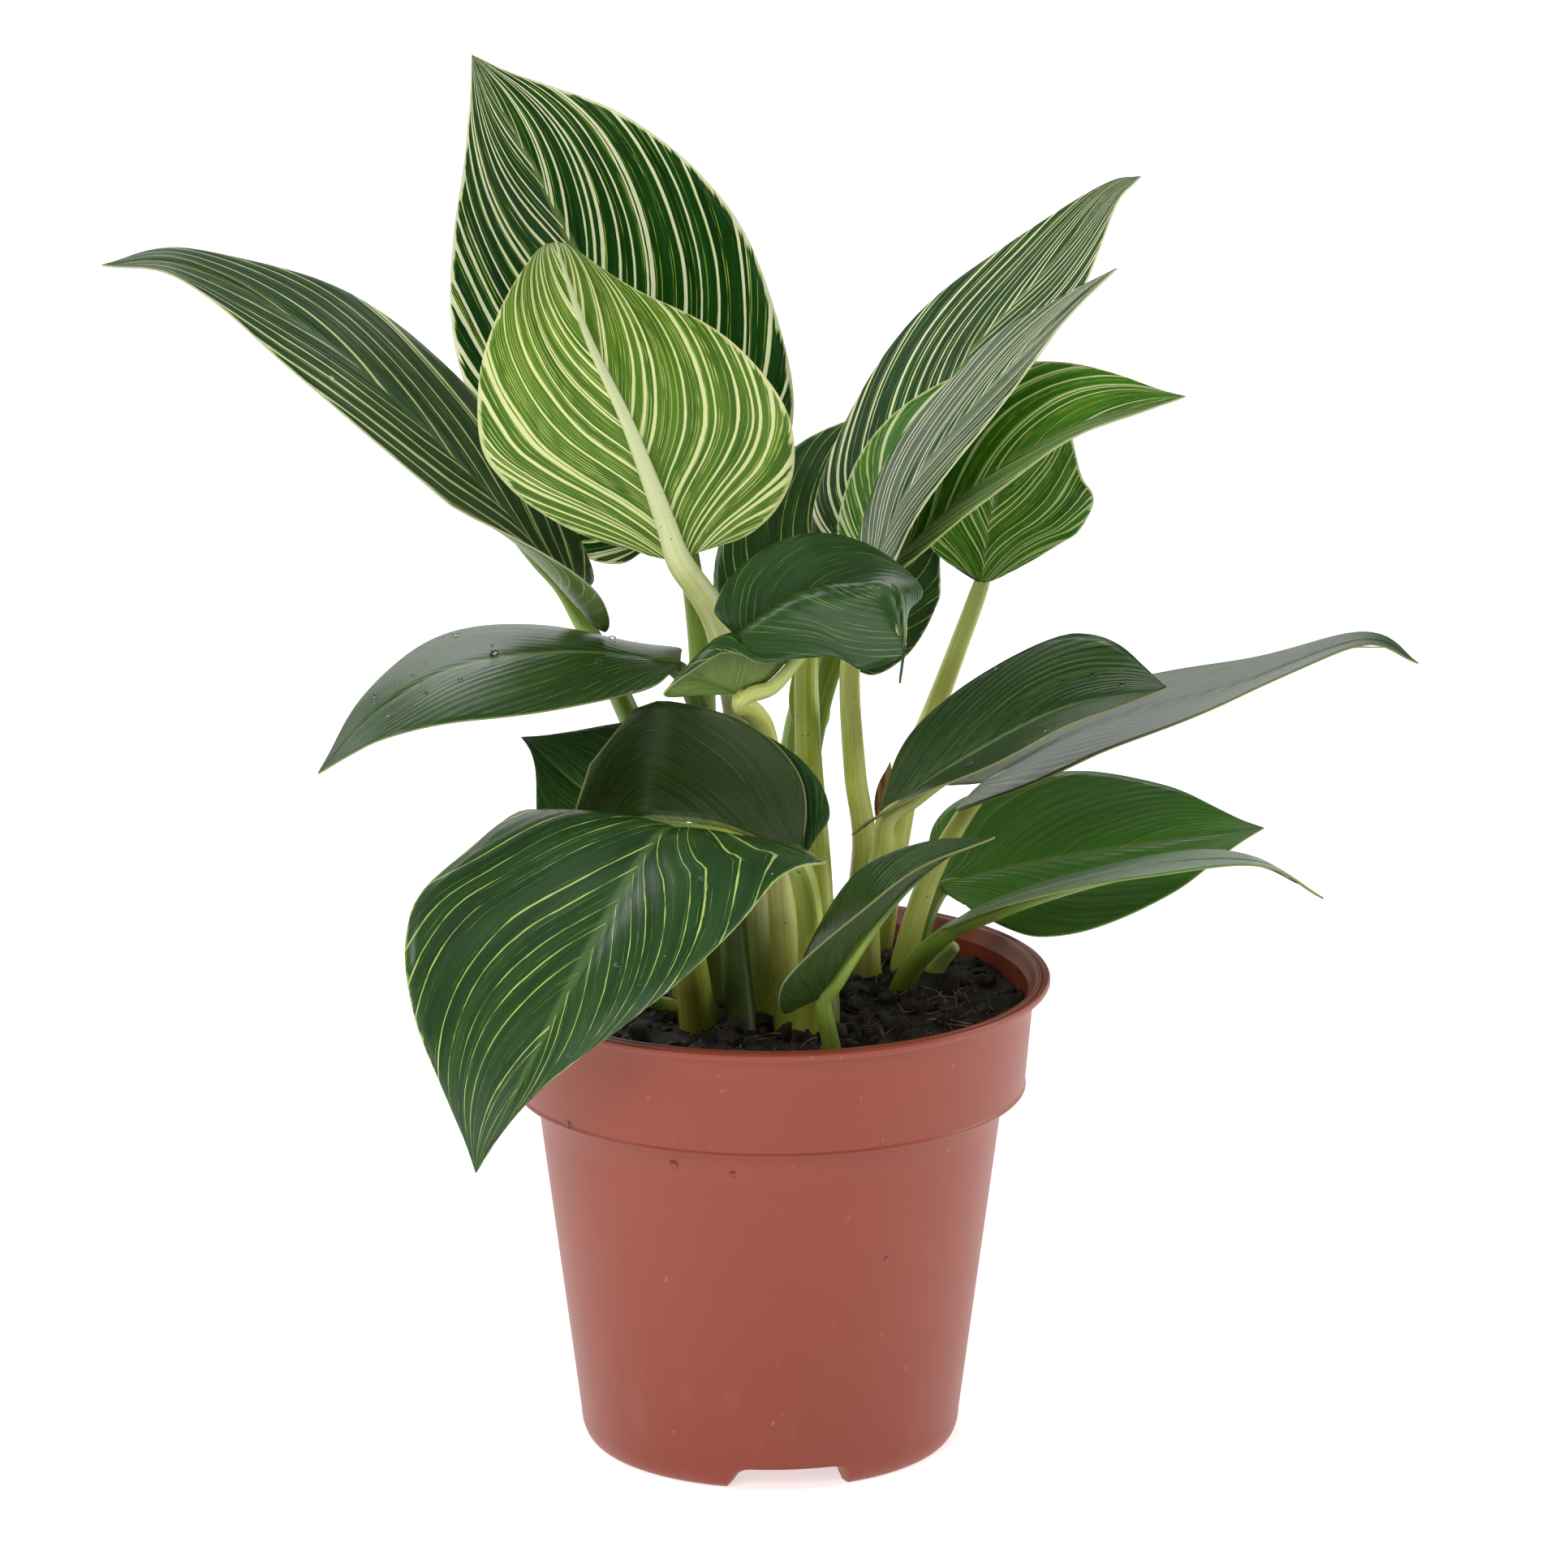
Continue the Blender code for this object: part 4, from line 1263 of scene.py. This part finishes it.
@dataclass
class LeafBlade:
    """The blade of one leaf: a thin curved sheet with its veins mapped for the stripes.

    root_start is where along the margin the run leaves the lobe, and the powers say how a point moves
    from the midrib to the margin as its reach grows.
    """

    leaf: Leaf
    seed: float
    thickness: float = 0.45
    rows: int = 72
    columns: int = 28
    midrib_furrow: float = 0.5
    furrow_reach: float = 0.055
    vein_sweep: float = 0.5
    vein_curve: float = 0.9
    root_start: float = 0.12
    root_power: float = 1.15
    lobe_power: float = 1.5
    width_power: float = 0.92
    ripple_waves: float = 17.0
    path: SmoothPath = field(init=False)
    margins: tuple = field(init=False)

    def __post_init__(self) -> None:
        """Lay the midrib and both margins."""
        self.path = SmoothPath(self.leaf.midrib, 90)
        self.margins = (self.leaf.left.margin(), self.leaf.right.margin())

    def frame(self, share: float) -> tuple[Vector, Vector, Vector, Vector]:
        """Find the place and the directions of the blade at its midrib.

        Args:
            share: the share of the blade's length.

        Returns:
            The midrib's point, and the left, forward and upper directions.
        """
        forward = self.path.heading(share)
        faces = [Vector(face).normalized() for face in self.leaf.faces]
        place = min(max(share, 0.0), 1.0) * (len(faces) - 1)
        index = min(int(place), len(faces) - 2)
        face = faces[index].lerp(faces[index + 1], place - index)
        upper = (face - face.dot(forward) * forward).normalized()
        return self.path.at(share), upper.cross(forward), forward, upper

    def flat(self, run: float, reach: float) -> tuple[float, float]:
        """Return where a point lies on the flat blade.

        Args:
            run: the place along the margin, from 0 at the stalk to 1 at the tip.
            reach: the place from the midrib, 0, to the margin, 1.

        Returns:
            The share of the blade's length, and the share of the side's width.
        """
        edge = self.margins[0 if reach >= 0 else 1].at(run)
        root = max(0.0, (run - self.root_start) / (1 - self.root_start)) ** self.root_power
        out = abs(reach)
        return root + (edge.x - root) * out**self.lobe_power, edge.y * out**self.width_power

    def form(self, run: float, reach: float, lift: float = 0.0) -> Vector:
        """Return a point of the formed blade.

        Args:
            run: the place along the margin, from 0 at the stalk to 1 at the tip.
            reach: -1 on the right margin, 0 on the midrib and 1 on the left margin.
            lift: how far above the upper face the point is.

        Returns:
            The point in millimetres.
        """
        half = self.leaf.left if reach >= 0 else self.leaf.right
        side = 1 if reach >= 0 else -1
        share, breadth = self.flat(run, reach)
        across = breadth * half.width
        base, left, forward, upper = self.frame(max(share, 0.0))
        base = base + min(share, 0.0) * self.path.length * forward
        fold = radians(along(half.fold, share))
        own_breadth = self.margins[0 if reach >= 0 else 1].at(run).y * half.width
        sideways, rise, turn = half.section(across, share, own_breadth)
        wave = sin(run * self.ripple_waves + self.seed * 5.0 + side) * sin(run * pi)
        lift += self.leaf.ripple * wave * reach * reach
        depth = self.midrib_furrow * sin(pi * min(max(share, 0.0), 1.0)) ** 0.5
        lift -= depth * exp(-((reach / self.furrow_reach) ** 2))
        sideways -= lift * sin(turn)
        rise += lift * cos(turn)
        turned_sideways = sideways * cos(fold) - rise * sin(fold)
        turned_rise = sideways * sin(fold) + rise * cos(fold)
        return base + side * turned_sideways * left + turned_rise * upper

    def vein_number(self, run: float, reach: float) -> float:
        """Number the lateral vein through a point of the blade, 0 at the base to 1 at the tip.

        A vein leaves the midrib at a low angle and sweeps forward to the margin.

        Args:
            run: the place along the margin, from 0 at the stalk to 1 at the tip.
            reach: -1 on the right margin, 0 on the midrib and 1 on the left margin.

        Returns:
            The number.
        """
        return (run + self.vein_sweep * (1 - abs(reach) ** self.vein_curve)) / (1 + self.vein_sweep)

    def build(self) -> bmesh.types.BMesh:
        """Form the blade from a flat grid.

        Returns:
            The open sheet, upper face out, with its vein map.
        """
        bm = bmesh.new()
        bmesh.ops.create_grid(bm, x_segments=self.rows, y_segments=self.columns, size=1.0)
        bm.verts.ensure_lookup_table()
        places = [((vert.co.x + 1) / 2, vert.co.y) for vert in bm.verts]
        veins = [self.vein_number(run, reach) for run, reach in places]
        layer = bm.loops.layers.uv.new(LEAF_MAP)
        for face in bm.faces:
            for loop in face.loops:
                index = loop.vert.index
                loop[layer].uv = (veins[index], (places[index][1] + 1) / 2)
        for vert, (run, reach) in zip(bm.verts, places):
            vert.co = self.form(run, reach)
        bmesh.ops.remove_doubles(bm, verts=bm.verts, dist=0.01)
        return bm

    def dress(self) -> list[bpy.types.Material]:
        """Make the blade's materials.

        Returns:
            Those of the upper face, the underside and the cut edge.
        """
        look = self.leaf.look.value
        upper = replace(look.upper, **self.leaf.stripes)
        rim, g, shader = new_material(self.leaf.name + "_edge")
        tone = g.grain(g.own_place(), scale=160.0)
        g.feed(shader.inputs["Base Color"], g.mix(tone, tuple(part * 0.8 for part in look.edge), look.edge))
        g.feed(shader.inputs["Roughness"], g.between(tone, 0.4, 0.55))
        return [
            upper.material(self.leaf.name + "_upper_face", self.seed),
            look.under.material(self.leaf.name + "_underside", self.seed),
            rim,
        ]

    def make(self) -> bpy.types.Object:
        """Build, dress and settle the blade.

        Returns:
            The piece.
        """
        piece = finish_piece(self.leaf.name + "_blade_visual", self.build(), self.dress())
        solid = thicken(piece, self.thickness)
        solid.material_offset = 1
        solid.material_offset_rim = 2
        return settle(piece, self.leaf.slot, self.leaf.name + "_blade")

    def add_beads(self) -> bpy.types.Object | None:
        """Scatter flattened beads of water on the upper face.

        Returns:
            The beads as one piece, or None for a dry leaf.
        """
        if not self.leaf.beads:
            return None
        chance = Random(int(self.seed * 100))
        bm = bmesh.new()
        for _ in range(self.leaf.beads):
            run = chance.uniform(0.3, 0.9)
            reach = chance.uniform(-0.95, 0.95)
            radius = 0.35 + 0.55 * chance.random() ** 2
            spot = self.form(run, reach)
            up = (self.form(run, reach, 1.0) - spot).normalized()
            size = (radius * chance.uniform(0.85, 1.2), radius, radius * 0.55)
            add_bead(bm, spot + up * (radius * 0.25 + self.thickness / 2), up, size)
        piece = finish_piece(self.leaf.name + "_water_beads", bm, [Water().material()])
        return settle(piece, None)


@dataclass
class LeafStalk:
    """A leaf's stalk, rising from the soil and running on as the midrib under its blade."""

    blade: LeafBlade
    rooting: float = 5.0
    sides: int = 16
    steps: int = 96
    groove: float = 0.22
    end_of_midrib: float = 0.93

    def make(self) -> bpy.types.Object:
        """Build and settle the stalk.

        Returns:
            The piece.
        """
        leaf = self.blade.leaf
        foot = Vector(leaf.stalk[0])
        points = [foot - Vector((0, 0, self.rooting)), *(Vector(p) for p in leaf.stalk)]
        lengths = [(b - a).length for a, b in zip(points, points[1:])]
        thick, thin = leaf.stalk_radii
        blade_points = []
        for share in (0.0, 0.1, 0.22, 0.4, 0.6, 0.8, self.end_of_midrib):
            spot, _, _, upper = self.blade.frame(share)
            sunk = thin * 0.75 * (1 - share) + self.blade.midrib_furrow * sin(pi * share) ** 0.5
            blade_points.append(spot - upper * sunk)
        lengths.append((blade_points[0] - points[-1]).length)
        stalk_share = sum(lengths) / (sum(lengths) + self.blade.path.length * self.end_of_midrib)
        path = SmoothPath([*points, *blade_points], 160)
        radii = []
        for index in range(41):
            share = index / 40
            if share < stalk_share:
                up = share / stalk_share
                radii.append(thick * (1.12 - 0.12 * min(up * 5, 1)) + (thin - thick) * up)
            else:
                beyond = (share - stalk_share) / (1 - stalk_share)
                radii.append(thin * (0.85 * (1 - beyond) ** 1.3 + 0.06))
        bm = bmesh.new()
        upper = self.blade.frame(0.0)[3]
        flat = Vector((upper.x, upper.y, 0))
        side = flat.normalized() if flat.length > 0.2 else Vector((0, -1, 0))
        rod(bm, path, radii, self.steps, self.sides, side, self.groove)
        piece = finish_piece(leaf.name + "_stalk_visual", bm, [leaf.tone.value.material()])
        return settle(piece, Slot.STALK, leaf.name + "_stalk")


@dataclass(frozen=True)
class CutStalk:
    """A short stalk left in the soil where a leaf was taken off.

    points is its centre line above the soil, and radii its radius in the soil and near its end.
    """

    name: str
    points: tuple
    radii: tuple
    tone: StalkTone
    rooting: float = 5.0
    sides: int = 14
    steps: int = 30
    groove: float = 0.15

    def make(self) -> bpy.types.Object:
        """Build and settle the stub.

        Returns:
            The piece.
        """
        foot = Vector(self.points[0])
        path = SmoothPath([foot - Vector((0, 0, self.rooting)), *self.points], 40)
        bm = bmesh.new()
        thick, thin = self.radii
        radii = [thick * 1.1, thick, thick, thick * 0.4 + thin * 0.6, thin, thin * 0.75]
        rod(bm, path, radii, self.steps, self.sides, Vector((0, -1, 0)), self.groove)
        piece = finish_piece(self.name + "_visual", bm, [self.tone.value.material()])
        return settle(piece, Slot.STALK, self.name)


@dataclass(frozen=True)
class Sheath:
    """A narrow papery sheath that stands beside the stalks."""

    name: str
    midrib: tuple
    face: Point
    half: Half
    dry: bool
    thickness: float = 0.5

    def make(self) -> bpy.types.Object:
        """Build and settle the sheath, which is formed like a small blade.

        Returns:
            The piece.
        """
        leaf = Leaf(self.name, (), (), self.midrib, (self.face, self.face), self.half, self.half, ripple=0.2)
        blade = LeafBlade(leaf, 3.0, rows=24, columns=10, midrib_furrow=0.1)
        skin = DrySheath() if self.dry else StalkTone.YELLOW.value
        piece = finish_piece(self.name + "_visual", blade.build(), [skin.material()])
        thicken(piece, self.thickness)
        return settle(piece, Slot.SHEATH if self.dry else Slot.STALK, self.name)


CUT_STALKS = (
    CutStalk("left_cut_stalk", ((-20, -4, 96), (-24, -5, 98), (-28, -6, 99)), (1.9, 1.6), StalkTone.YELLOW),
    CutStalk("right_cut_stalk", ((34, 20, 96), (37, 18, 101), (40, 16, 105)), (2.4, 1.8), StalkTone.PALE),
)
SHEATHS = (
    Sheath("green_sheath", ((9, 29, 150), (8, 31, 160), (7, 33, 168)), (0.2, -1, 0.1), Half(4.5), False),
    Sheath("brown_sheath", ((25, 35, 127), (25, 36, 134), (26, 37, 140)), (0.2, -1, 0), Half(2.4), True),
)


# ------------------------------------------------------------------------------------------------- pot


@dataclass
class Pot:
    """The nursery pot: a double-ridged rim, a deep collar, a tapered body and three curved feet.

    Angles are in degrees.  gap_centre is the middle of one gap between two feet, and a foot's edge
    rises within foot_end_angle of the gap's end.  A bead of water is (angle, height, size).
    """

    height: float = 103.3
    rim_radius: float = 60.0
    collar_top_radius: float = 56.8
    collar_bottom_radius: float = 54.6
    collar_bottom: float = 78.5
    body_top_radius: float = 50.2
    body_bottom_radius: float = 40.8
    foot_height: float = 6.0
    foot_radius: float = 37.4
    foot_flat: float = 2.2
    wall: float = 1.2
    floor_top: float = 6.8
    floor_bottom: float = 5.4
    foot_count: int = 3
    gap_centre: float = -83.4
    gap_half_angle: float = 19.0
    foot_end_angle: float = 9.0
    drain_holes: int = 6
    drain_hole_radius: float = 3.5
    drain_hole_circle: float = 24.0
    segments: int = 180
    beads: tuple = ((-114.0, 74.5, 1.0), (-99.0, 73.6, 0.7), (-58.0, 52.0, 0.6), (-141.0, 80.0, 0.8))

    def body_radius(self, height: float) -> float:
        """Return the outer radius of the tapered body at a height."""
        share = (height - self.foot_height) / (self.collar_bottom - self.foot_height)
        return self.body_bottom_radius + (self.body_top_radius - self.body_bottom_radius) * share

    def collar_radius(self, height: float) -> float:
        """Return the outer radius of the collar at a height."""
        share = (height - self.collar_bottom) / (self.height - self.collar_bottom)
        return self.collar_bottom_radius + (self.collar_top_radius - self.collar_bottom_radius) * share

    def profile(self) -> list[tuple[float, float]]:
        """Draw the wall's closed section.

        Returns:
            Its (radius, height) points, down the outside and up the inside.
        """
        top, rim, collar, wall = self.height, self.rim_radius, self.collar_bottom, self.wall
        ridges = [
            (rim - 3.2, top - 0.7), (rim - 2.8, top - 0.25), (rim - 2.4, top - 0.05), (rim - 2.0, top - 0.15),
            (rim - 1.7, top - 0.5), (rim - 1.5, top - 0.55), (rim - 1.2, top - 0.2), (rim - 0.8, top),
            (rim - 0.3, top - 0.15), (rim, top - 0.6), (rim, top - 1.3), (rim - 0.25, top - 1.7),
            (rim - 0.8, top - 1.85), (self.collar_top_radius + 0.5, top - 2.0),
            (self.collar_top_radius + 0.1, top - 2.3), (self.collar_radius(top - 3.2), top - 3.2),
        ]
        edge = self.collar_bottom_radius
        heights = (top - 8, top - 14, top - 19, collar + 1.7, collar + 1.3)
        outside = [(self.collar_radius(h), h) for h in heights]
        outside += [
            (edge + 0.22, collar + 1.1), (edge + 0.32, collar + 0.8), (edge + 0.28, collar + 0.45),
            (edge, collar + 0.15), (edge - 0.5, collar), (edge - 1.0, collar),
            (self.body_top_radius + 1.4, collar - 0.2), (self.body_top_radius + 0.5, collar - 0.5),
            (self.body_radius(collar - 1.4), collar - 1.4),
        ]
        outside += [(self.body_radius(h), h) for h in (70, 60, 50, 40, 30, 20, 12, 7.2, 6.4, 6.0)]
        bend = self.body_bottom_radius - self.foot_radius
        for step in range(1, 8):
            angle = step * pi / 16
            outside.append((self.foot_radius + bend * cos(angle), self.foot_height * (1 - sin(angle))))
        inside = [
            (self.foot_radius, 0.0), (self.foot_radius - self.foot_flat, 0.0),
            (self.foot_radius - self.foot_flat, self.floor_bottom), (12.0, self.floor_bottom),
            (0.0, self.floor_bottom), (0.0, self.floor_top), (12.0, self.floor_top),
            (self.body_radius(self.floor_top) - wall - 1.5, self.floor_top),
            (self.body_radius(self.floor_top + 1.5) - wall, self.floor_top + 1.5),
            (self.body_radius(collar - 2.0) - wall, collar - 2.0),
            (self.body_top_radius - 0.4, collar - 0.4 + wall),
            (self.collar_bottom_radius - wall - 1.0, collar + wall),
            (self.collar_bottom_radius - wall, collar + 1.0 + wall),
            (self.collar_radius(top - 8) - wall, top - 8),
            (self.collar_radius(top - 3) - wall, top - 3),
            (rim - 3.4, top - 1.4),
        ]
        return ridges + outside + inside

    def foot_lift(self, angle: float) -> float:
        """Find how far the foot's edge rises.

        Args:
            angle: the angle about the pot's axis, in radians.

        Returns:
            The share of the foot's height: 1 in a gap and 0 on a foot.
        """
        pitch = 2 * pi / self.foot_count
        away = abs((angle - radians(self.gap_centre) + pitch / 2) % pitch - pitch / 2)
        share = (radians(self.gap_half_angle) - away) / radians(self.foot_end_angle)
        share = min(max(share, 0.0), 1.0)
        return (1 - (1 - share) ** 2) ** 0.5

    def shell(self) -> bmesh.types.BMesh:
        """Turn the section about the pot's axis and shape the feet.

        Returns:
            The shell, without its drain holes.
        """
        bm = lathe(self.profile(), True, self.segments)
        for vert in bm.verts:
            if vert.co.z < self.floor_bottom - 0.1:
                lift = self.foot_lift(vert.co.to_2d().angle_signed(Vector((1, 0))))
                vert.co.z += (self.floor_bottom - 0.3 - vert.co.z) * lift * 0.98
        bmesh.ops.recalc_face_normals(bm, faces=bm.faces)
        return bm

    def make(self) -> bpy.types.Object:
        """Build and settle the pot.

        Returns:
            The piece.
        """
        piece = finish_piece("pot_visual", self.shell(), [SatinPlastic().material()], 32.0)
        holes = bmesh.new()
        for index in range(self.drain_holes):
            middle = (self.floor_top + self.floor_bottom) / 2
            spot = Matrix.Rotation(2 * pi * index / self.drain_holes, 4, "Z")
            spot = spot @ Matrix.Translation((self.drain_hole_circle, 0, middle))
            bmesh.ops.create_cone(
                holes, cap_ends=True, segments=32, radius1=self.drain_hole_radius,
                radius2=self.drain_hole_radius, depth=4 * self.wall, matrix=spot,
            )
        tool = finish_piece("drain_hole_cutter", holes, [], 50.0)
        boolean = piece.modifiers.new("Drain holes", "BOOLEAN")
        boolean.solver = "EXACT"
        boolean.object = tool
        bpy.context.view_layer.update()
        whole = bpy.data.meshes.new_from_object(piece.evaluated_get(bpy.context.evaluated_depsgraph_get()))
        piece.modifiers.clear()
        piece.data = whole
        bpy.data.objects.remove(tool)
        return settle(piece, Slot.POT, "pot")

    def add_beads(self) -> bpy.types.Object:
        """Add the beads of water that cling to the outside.

        Returns:
            The beads as one piece.
        """
        bm = bmesh.new()
        for around, height, size in self.beads:
            angle = radians(around)
            out = Vector((cos(angle), sin(angle), 0))
            radius = self.body_radius(height) if height < self.collar_bottom else self.collar_radius(height)
            add_bead(bm, out * radius + Vector((0, 0, height)), out, (size, size * 1.2, size * 0.5))
        return settle(finish_piece("pot_water_beads", bm, [Water().material()]), None)


# ------------------------------------------------------------------------------------------------ soil


@dataclass
class Soil:
    """The damp peat in the pot, with crumbs, lumps and dry fibres on it."""

    pot: Pot
    level: float = 95.0
    edge_radius: float = 54.7
    rings: int = 64
    segments: int = 150
    crumbs: int = 620
    fibres: int = 260
    clearance: float = 0.4
    seed: int = 11

    def height(self, x: float, y: float) -> float:
        """Find the height of the peat's surface: a mound on the right, lumps and grit.

        Args:
            x: the place across the pot.
            y: the place from front to back.

        Returns:
            The height.
        """
        mound = 2.6 * max(0.0, 1 - Vector((x - 34, y - 22)).length / 40)
        lumps = 1.5 * noise.noise(Vector((x / 9, y / 9, 0.5)))
        lumps += 0.7 * noise.noise(Vector((x / 4, y / 4, 3.5)))
        grit = 0.55 * noise.noise(Vector((x / 1.7, y / 1.7, 7.5)))
        grit += 0.3 * noise.noise(Vector((x / 0.8, y / 0.8, 9.5)))
        return self.level + 0.02 * y + mound + lumps + grit

    def ball(self) -> bmesh.types.BMesh:
        """Turn the root ball about the pot's axis and roughen its top.

        Returns:
            The ball.
        """
        pot, gap = self.pot, self.clearance
        inner_floor = pot.body_radius(pot.floor_top + 1.5) - pot.wall - gap
        inner_body = pot.body_radius(pot.collar_bottom - 2.0) - pot.wall - gap
        inner_collar = pot.collar_bottom_radius - pot.wall - gap
        ledge = pot.collar_bottom + pot.wall + gap
        profile = [(0.0, pot.floor_top + gap), (inner_floor - 2.2, pot.floor_top + gap)]
        profile += [(inner_floor - 0.2, pot.floor_top + 2.2), (inner_body - 0.2, pot.collar_bottom - 2.0)]
        profile += [(inner_body - 0.2, ledge + 0.4), (inner_collar - 1.6, ledge + 0.4), (inner_collar, 84.0)]
        profile += [(self.edge_radius * (1 - ring / self.rings), self.level) for ring in range(self.rings)]
        profile.append((0.0, self.level))
        bm = lathe(profile, False, self.segments)
        bmesh.ops.recalc_face_normals(bm, faces=bm.faces)
        for vert in bm.verts:
            if vert.co.z > self.level - 1:
                vert.co.z = self.height(vert.co.x, vert.co.y)
        return bm

    def crumb_mesh(self) -> bmesh.types.BMesh:
        """Scatter crumbs and a few lumps over the surface.

        Returns:
            Their mesh.
        """
        chance = Random(self.seed)
        noise.seed_set(self.seed)  # unseeded, the vector noise starts from the clock
        bm = bmesh.new()
        for index in range(self.crumbs):
            size = 0.5 + 2.6 * chance.random() ** 3.2
            away = (self.edge_radius - size - 0.6) * chance.random() ** 0.5
            around = chance.uniform(0, 2 * pi)
            x, y = away * cos(around), away * sin(around)
            turn = Matrix.Rotation(chance.uniform(0, pi), 4, "Z")
            tilt = Matrix.Rotation(chance.uniform(0, pi), 4, "X")
            half_lengths = (size * chance.uniform(0.8, 1.4), size, size * chance.uniform(0.6, 0.9), 1)
            shape = turn @ tilt @ Matrix.Diagonal(half_lengths)
            place = Matrix.Translation((x, y, self.height(x, y) + 0.2 * size)) @ shape
            made = bmesh.ops.create_icosphere(bm, subdivisions=2, radius=1.0, matrix=place)
            for vert in made["verts"]:
                spot = vert.co / (0.55 * size)
                vert.co += noise.noise_vector(spot + Vector((index, 0, 0))) * size * 0.42
        return bm

    def fibre_mesh(self) -> bmesh.types.BMesh:
        """Scatter short curled fibres over the surface.

        Returns:
            Their mesh.
        """
        chance = Random(self.seed + 1)
        bm = bmesh.new()
        for _ in range(self.fibres):
            length = chance.uniform(2.5, 9.0)
            away = (self.edge_radius - 6.0) * chance.random() ** 0.5
            around = chance.uniform(0, 2 * pi)
            heading = chance.uniform(0, 2 * pi)
            points = []
            for step in range(4):
                x = away * cos(around) + length * (step / 3 - 0.5) * cos(heading)
                y = away * sin(around) + length * (step / 3 - 0.5) * sin(heading)
                heading += chance.uniform(-0.5, 0.5)
                points.append(Vector((x, y, self.height(x, y) + chance.uniform(0.1, 1.6))))
            rod(bm, SmoothPath(points, 12), (0.10, 0.13, 0.08), 7, 4, Vector((0, 0, 1)))
        return bm

    def make(self) -> list[bpy.types.Object]:
        """Build and settle the peat, its crumbs and its fibres.

        Returns:
            The three pieces.
        """
        dark = Peat("damp_peat", (0.010, 0.008, 0.007), (0.045, 0.032, 0.024)).material()
        drier = Peat("peat_crumb", (0.014, 0.011, 0.009), (0.085, 0.062, 0.048)).material()
        return [
            settle(finish_piece("soil_visual", self.ball(), [dark]), Slot.SOIL, "soil"),
            settle(finish_piece("soil_crumbs", self.crumb_mesh(), [drier], 60.0), Slot.SOIL),
            settle(finish_piece("soil_fibres", self.fibre_mesh(), [PeatFibre().material()], 60.0), Slot.SOIL),
        ]


# ---------------------------------------------------------------------------------------------- studio


@dataclass
class Studio:
    """A plain white sweep, soft lights and the camera."""

    camera_place: Point = (0.003, -2.096, 0.719)
    camera_pitch: float = 74.69
    lens: float = 234.36
    sensor: float = 36.0
    floor_glow: float = 0.6
    front_level: float = 0.24
    back_level: float = 1.15

    def floor(self) -> None:
        """Lay the pale floor."""
        bm = bmesh.new()
        bmesh.ops.create_grid(bm, x_segments=1, y_segments=1, size=6000.0)
        material, g, shader = new_material("white_floor")
        tone = g.grain(g.own_place(), scale=2.0)
        g.feed(shader.inputs["Base Color"], g.mix(tone, (0.93, 0.93, 0.93), (0.95, 0.95, 0.95)))
        shader.inputs["Roughness"].default_value = 0.9
        shader.inputs["Emission Color"].default_value = (1.0, 1.0, 1.0, 1.0)
        shader.inputs["Emission Strength"].default_value = self.floor_glow
        finish_piece("studio_floor", bm, [material], 50.0)

    def world(self) -> None:
        """Surround the scene with soft white light, brighter behind the plant than in front of it."""
        world = bpy.data.worlds.new("white_studio")
        world.use_nodes = True
        g = Graph(world.node_tree)
        heading = g.node("SeparateXYZ")
        g.feed(heading.inputs[0], g.node("TexCoord").outputs["Generated"])
        behind = g.step(heading.outputs["Y"], -0.2, 0.6)
        low = g.step(heading.outputs["Z"], 0.6, 0.2)
        background = world.node_tree.nodes["Background"]
        level = g.between(g.times(behind, low), self.front_level, self.back_level)
        g.feed(background.inputs["Strength"], level)
        background.inputs["Color"].default_value = (1.0, 1.0, 1.0, 1.0)
        bpy.context.scene.world = world

    def light(self, name: str, place: Point, size: float, power: float) -> bpy.types.Object:
        """Hang a soft square light that faces the plant.

        Args:
            name: the light's name.
            place: where it hangs, in metres.
            size: its side, in metres.
            power: its power in watts.

        Returns:
            The light.
        """
        data = bpy.data.lights.new(name, "AREA")
        data.size = size
        data.energy = power
        lamp = bpy.data.objects.new(name, data)
        lamp.location = place
        aim = Vector((0, 0, 0.13)) - Vector(place)
        lamp.rotation_euler = aim.to_track_quat("-Z", "Y").to_euler()
        bpy.context.scene.collection.objects.link(lamp)
        return lamp

    def camera(self) -> None:
        """Stand the camera in front of the plant, looking slightly down."""
        data = bpy.data.cameras.new("camera")
        data.lens = self.lens
        data.sensor_width = self.sensor
        data.clip_start = 0.05
        camera = bpy.data.objects.new("camera", data)
        camera.location = self.camera_place
        camera.rotation_euler = (radians(self.camera_pitch), 0, 0)
        bpy.context.scene.collection.objects.link(camera)
        bpy.context.scene.camera = camera

    def make(self) -> None:
        """Set up the whole studio."""
        self.floor()
        self.world()
        self.light("side_softbox", (-1.5, -0.3, 1.2), 0.8, 8.0)
        self.light("top_softbox", (-0.35, 1.15, 1.25), 0.9, 6.0)
        self.light("right_softbox", (1.5, 0.3, 0.6), 0.8, 10.0)
        self.light("front_fill", (-0.5, -1.8, 1.2), 0.8, 17.0).visible_glossy = False
        self.camera()
        bpy.context.scene.view_settings.view_transform = "Standard"


# ------------------------------------------------------------------------------------------------ main


def main() -> None:
    """Build every piece in order and set up the studio."""
    logging.basicConfig(level=logging.INFO, format="%(name)s: %(message)s")
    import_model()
    for index, leaf in enumerate(LEAVES):
        blade = LeafBlade(leaf, 1.0 + 0.37 * index)
        blade.make()
        blade.add_beads()
        LeafStalk(blade).make()
    for piece in (*CUT_STALKS, *SHEATHS):
        piece.make()
    pot = Pot()
    pot.make()
    pot.add_beads()
    Soil(pot).make()
    Studio().make()
    bpy.context.view_layer.update()


if __name__ == "__main__":
    main()
